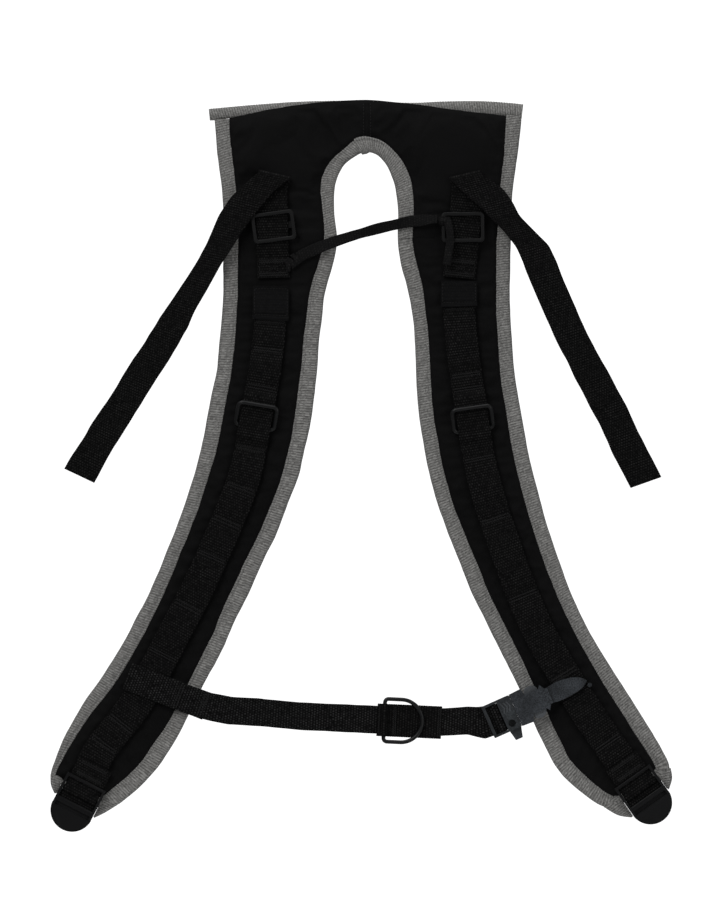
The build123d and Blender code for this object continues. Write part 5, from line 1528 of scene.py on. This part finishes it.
# ------------------------------------------------------------ neck cord and its knot
def neck_cord():
    low = [(x, z - 1.1) for x, z in CORD_LOW[::-1]]
    count = int(lengths(np.array(CORD_TOP))[-1] / 0.5)
    top, low = (gauss(resample(line, count=count), 6) for line in (CORD_TOP, low))
    middle = (top + low) / 2
    travel = lengths(middle)
    total = travel[-1]
    depth = (14.3 + 0.5 * noise1(travel, 101, 30.0)
             + 3.2 * smoothstep(travel, total - 26, total - 2) + 0.5 * bell(travel, 34, 9))
    squeeze = (1 - 0.16 * bell(travel, total * 0.42, 16) - 0.10 * bell(travel, total * 0.72, 12)
               - 0.25 * bell(travel, total, 9))
    twist = 3.2 * np.sin(travel / total * math.pi * 2.2 + 0.6) * smoothstep(travel, 14, 30)
    mesh = strap(world(*middle.T, depth), world(*(low - top).T, twist), half=5.3, thick=1.3,
                 rib=0.1, pitch=1.5, columns=8, width=squeeze, fuzz=0.2, seed=31)
    make_webbing("neck_cord_tape", mesh, CORD, replaces=("neck_cord",),
                 blend=("yoke", "right_glide", (0.040, 0, -0.09), (0.066, 0, -0.09)))


def cord_gathers():
    """The cord's sewn, gathered end on the left."""
    slope = math.atan2(CORD_TOP[2][1] - CORD_TOP[0][1], CORD_TOP[2][0] - CORD_TOP[0][0])
    t = np.linspace(-1, 1, 25)
    parts = []
    places = ((-63.0, -125.8, 0.0), (-66.7, -128.7, 0.25), (-69.9, -131.4, -0.2))
    for k, (x, z, turn) in enumerate(places):  # X, Z and radians off the cord's slope
        along = np.array([math.cos(slope + turn), math.sin(slope + turn)])
        across = np.array([-along[1], along[0]])
        line = np.array([x, z]) + np.outer(t * 5.4, across) + np.outer(np.cos(t * 2.2), along)
        parts.append(strap(world(*line.T, 13.9 + 0.7 * np.cos(t * 1.5) - 0.1 * k),
                           world(*along, 0), half=2.3, thick=1.9, rib=0.12, pitch=1.6,
                           columns=4))
    make_webbing("neck_cord_gathers", join_meshes(parts), CORD, blend=fold_blend("left"))


def cord_wrap(y, lean, grow, half):
    """One closed turn of cord round the right tri-glide's side."""
    glide = GLIDE["right"]
    count = 48
    angle = np.linspace(0, 2 * math.pi, count + 1)[:-1]
    centre = glide.at(-17.6 + (2.75 + grow) * np.cos(angle), y + lean * np.sin(angle),
                      17.6 + (2.6 + grow * 0.8) * np.sin(angle))
    along = unit(np.roll(centre, -1, axis=0) - np.roll(centre, 1, axis=0))
    out = unit(centre - glide.at(-17.6, y, 17.6))
    across = unit(np.cross(along, out))
    ring = flat_section(half, 1.1, 6)
    height = ring[:, 1] + 0.05 * np.cos(np.arange(count) * 1.4)[:, None]
    rings = (centre[:, None] + ring[:, 0][None, :, None] * across[:, None]
             + height[..., None] * out[:, None])
    return tube(rings, u=np.linspace(0, 19, count), v=np.concatenate([ring[:, 0] + half, [0]]),
                closed=True)


def cord_wraps():
    """Three turns and the cord's hanging tail."""
    parts = [cord_wrap(y=5.4, lean=0.0, grow=0.0, half=3.7),
             cord_wrap(y=5.0, lean=2.6, grow=0.85, half=3.0),
             cord_wrap(y=6.0, lean=-2.4, grow=1.1, half=2.6)]
    tail_edges = (  # left and right edge of the tail, (X, Z)
        [(68.2, -87.5), (70.8, -93.5), (72.6, -100.0), (73.2, -110.0), (71.6, -120.5),
         (69.5, -131.0)],
        [(76.2, -87.0), (78.4, -93.5), (79.5, -100.0), (79.6, -111.0), (78.2, -121.0),
         (76.4, -131.8)],
    )
    left, right = (gauss(resample(smooth(edge, 2), count=84), 3) for edge in tail_edges)
    middle = (left + right) / 2
    travel = lengths(middle)
    depth = 20.5 + 0.8 * smoothstep(travel, 0, 8) + 0.5 * np.sin(travel / 6.5)
    across = world(*(right - left).T, 1.6 * np.sin(travel / 9.0))
    parts.append(strap(world(*middle.T, depth), across, half=3.7, thick=1.1, rib=0.1, pitch=1.5,
                       columns=6, fuzz=0.2, seed=37))
    make_webbing("neck_cord_wraps", join_meshes(parts), CORD, body="right_glide",
                 replaces=("neck_cord_knot",))


neck_cord()
cord_gathers()
cord_wraps()

# ------------------------------------------------------------ CAD pieces that stay
KEPT = {  # name: material, width of the rounded edges
    "left_triglide": (PLASTIC_DARK, 0.5),
    "right_triglide": (PLASTIC_DARK, 0.5),
    "left_ladder_lock": (PLASTIC, 0.45),
    "right_ladder_lock": (PLASTIC, 0.45),
    "left_ring": (WIRE, 0),
    "right_ring": (WIRE, 0),
    "chest_ring": (WIRE, 0),
    "plug": (PLASTIC_PLUG, 0.45),
    "plug_chevrons": (PLASTIC_LATCH, 0.12),
    "upper_latch": (PLASTIC_LATCH, 0.4),
    "lower_latch": (PLASTIC_LATCH, 0.4),
    "socket": (PLASTIC_GLOSS, 0.5),
    "socket_stud": (PLASTIC_GLOSS, 0.3),
}


def dress_cad_piece(ob, material, rounding):
    if not ob.data.materials:
        ob.data.materials.append(material)
    for slot in ob.material_slots:
        slot.link = "OBJECT"
        slot.material = material
    if rounding:
        weld = ob.modifiers.new("Weld", "WELD")
        weld.merge_threshold = 0.00001
        bevel = ob.modifiers.new("Bevel", "BEVEL")
        bevel.width = rounding * MM
        bevel.segments = 3
        bevel.limit_method = "ANGLE"
        bevel.angle_limit = math.radians(34)
        bevel.use_clamp_overlap = True
        bevel.harden_normals = False


for node_name, (kept_material, kept_rounding) in KEPT.items():
    dress_cad_piece(frame["nodes"][node_name], kept_material, kept_rounding)


# ------------------------------------------------------------ lights, world, floor and camera, metres
def area_light(name, where, size, power):
    """A rectangular light aimed at the harness's middle."""
    data = bpy.data.lights.new(name, "AREA")
    data.shape = "RECTANGLE"
    data.size, data.size_y = size
    data.energy = power
    data.color = (1, 1, 1)
    ob = add_object(name, data)
    ob.location = where
    aim = Vector((0, 0, -0.3)) - Vector(where)
    ob.rotation_euler = aim.to_track_quat("-Z", "Y").to_euler()


def studio_world():
    """Dim grey light all round, seen by the camera as white."""
    studio = bpy.data.worlds.new("studio")
    bpy.context.scene.world = studio
    studio.use_nodes = True
    tree = studio.node_tree
    light = tree.nodes["Background"]
    light.inputs["Color"].default_value = (0.9, 0.9, 0.9, 1)
    light.inputs["Strength"].default_value = 0.16
    seen = tree.nodes.new("ShaderNodeBackground")
    seen.inputs["Color"].default_value = (1, 1, 1, 1)
    seen.inputs["Strength"].default_value = 1.15
    ray = tree.nodes.new("ShaderNodeLightPath")
    mix = tree.nodes.new("ShaderNodeMixShader")
    tree.links.new(ray.outputs["Is Camera Ray"], mix.inputs[0])
    tree.links.new(light.outputs[0], mix.inputs[1])
    tree.links.new(seen.outputs[0], mix.inputs[2])
    tree.links.new(mix.outputs[0], tree.nodes["World Output"].inputs[0])


def floor_material():
    """Pale floor that fades to nothing outwards."""
    mat = Nodes("pale_floor")
    waves = mat.noise(mat.object_place(), scale=30.0)
    mat.surface((0.86, 0.86, 0.86), 0.9, mat.bump(waves, strength=0.05, distance=0.001))
    clear = mat.new("ShaderNodeBsdfTransparent")
    radius = mat.new("ShaderNodeVectorMath", operation="LENGTH")
    mat.feed(radius.inputs[0], mat.object_place())
    fade = mat.new("ShaderNodeMapRange", interpolation_type="SMOOTHSTEP")
    mat.feed(fade.inputs[0], radius.outputs["Value"])
    fade.inputs[1].default_value = 0.25  # the fade begins at this radius
    fade.inputs[2].default_value = 0.85  # and ends at this one
    mix = mat.new("ShaderNodeMixShader",
                  {0: fade.outputs[0], 1: mat.shader.outputs[0], 2: clear.outputs[0]})
    mat.feed(mat.tree.nodes["Material Output"].inputs[0], mix.outputs[0])
    return mat.material


def add_floor():
    material = floor_material()
    bm = bmesh.new()
    bmesh.ops.create_circle(bm, cap_ends=True, segments=96, radius=0.9)
    bmesh.ops.subdivide_edges(bm, edges=bm.edges[:], cuts=1)
    me = bpy.data.meshes.new("floor")
    bm.to_mesh(me)
    bm.free()
    me.materials.append(material)
    floor = add_object("floor", me)
    floor.location = (0, 0, -0.735)


def add_camera():
    """A distant camera square to the front."""
    distance = 10.0
    view_height = 0.810
    data = bpy.data.cameras.new("camera")
    data.sensor_fit = "VERTICAL"
    data.sensor_height = 24.0
    data.lens = 24.0 * distance / view_height
    camera = add_object("camera", data)
    camera.location = (-0.00135, -distance, -0.297)
    camera.rotation_euler = (math.pi / 2, 0, 0)
    bpy.context.scene.camera = camera


area_light("key", where=(-1.3, -2.3, 1.35), size=(1.5, 1.5), power=36)
area_light("fill", where=(1.9, -2.2, -0.1), size=(1.8, 1.8), power=14)
area_light("top_glance", where=(0.1, -0.55, 1.7), size=(2.2, 0.6), power=15)
area_light("low_glance", where=(-0.2, -0.9, -1.9), size=(2.2, 0.6), power=4)
area_light("back_fill", where=(0.4, 2.4, 0.9), size=(2.0, 2.0), power=22)
studio_world()
add_floor()
add_camera()
bpy.context.scene.view_settings.view_transform = "Standard"
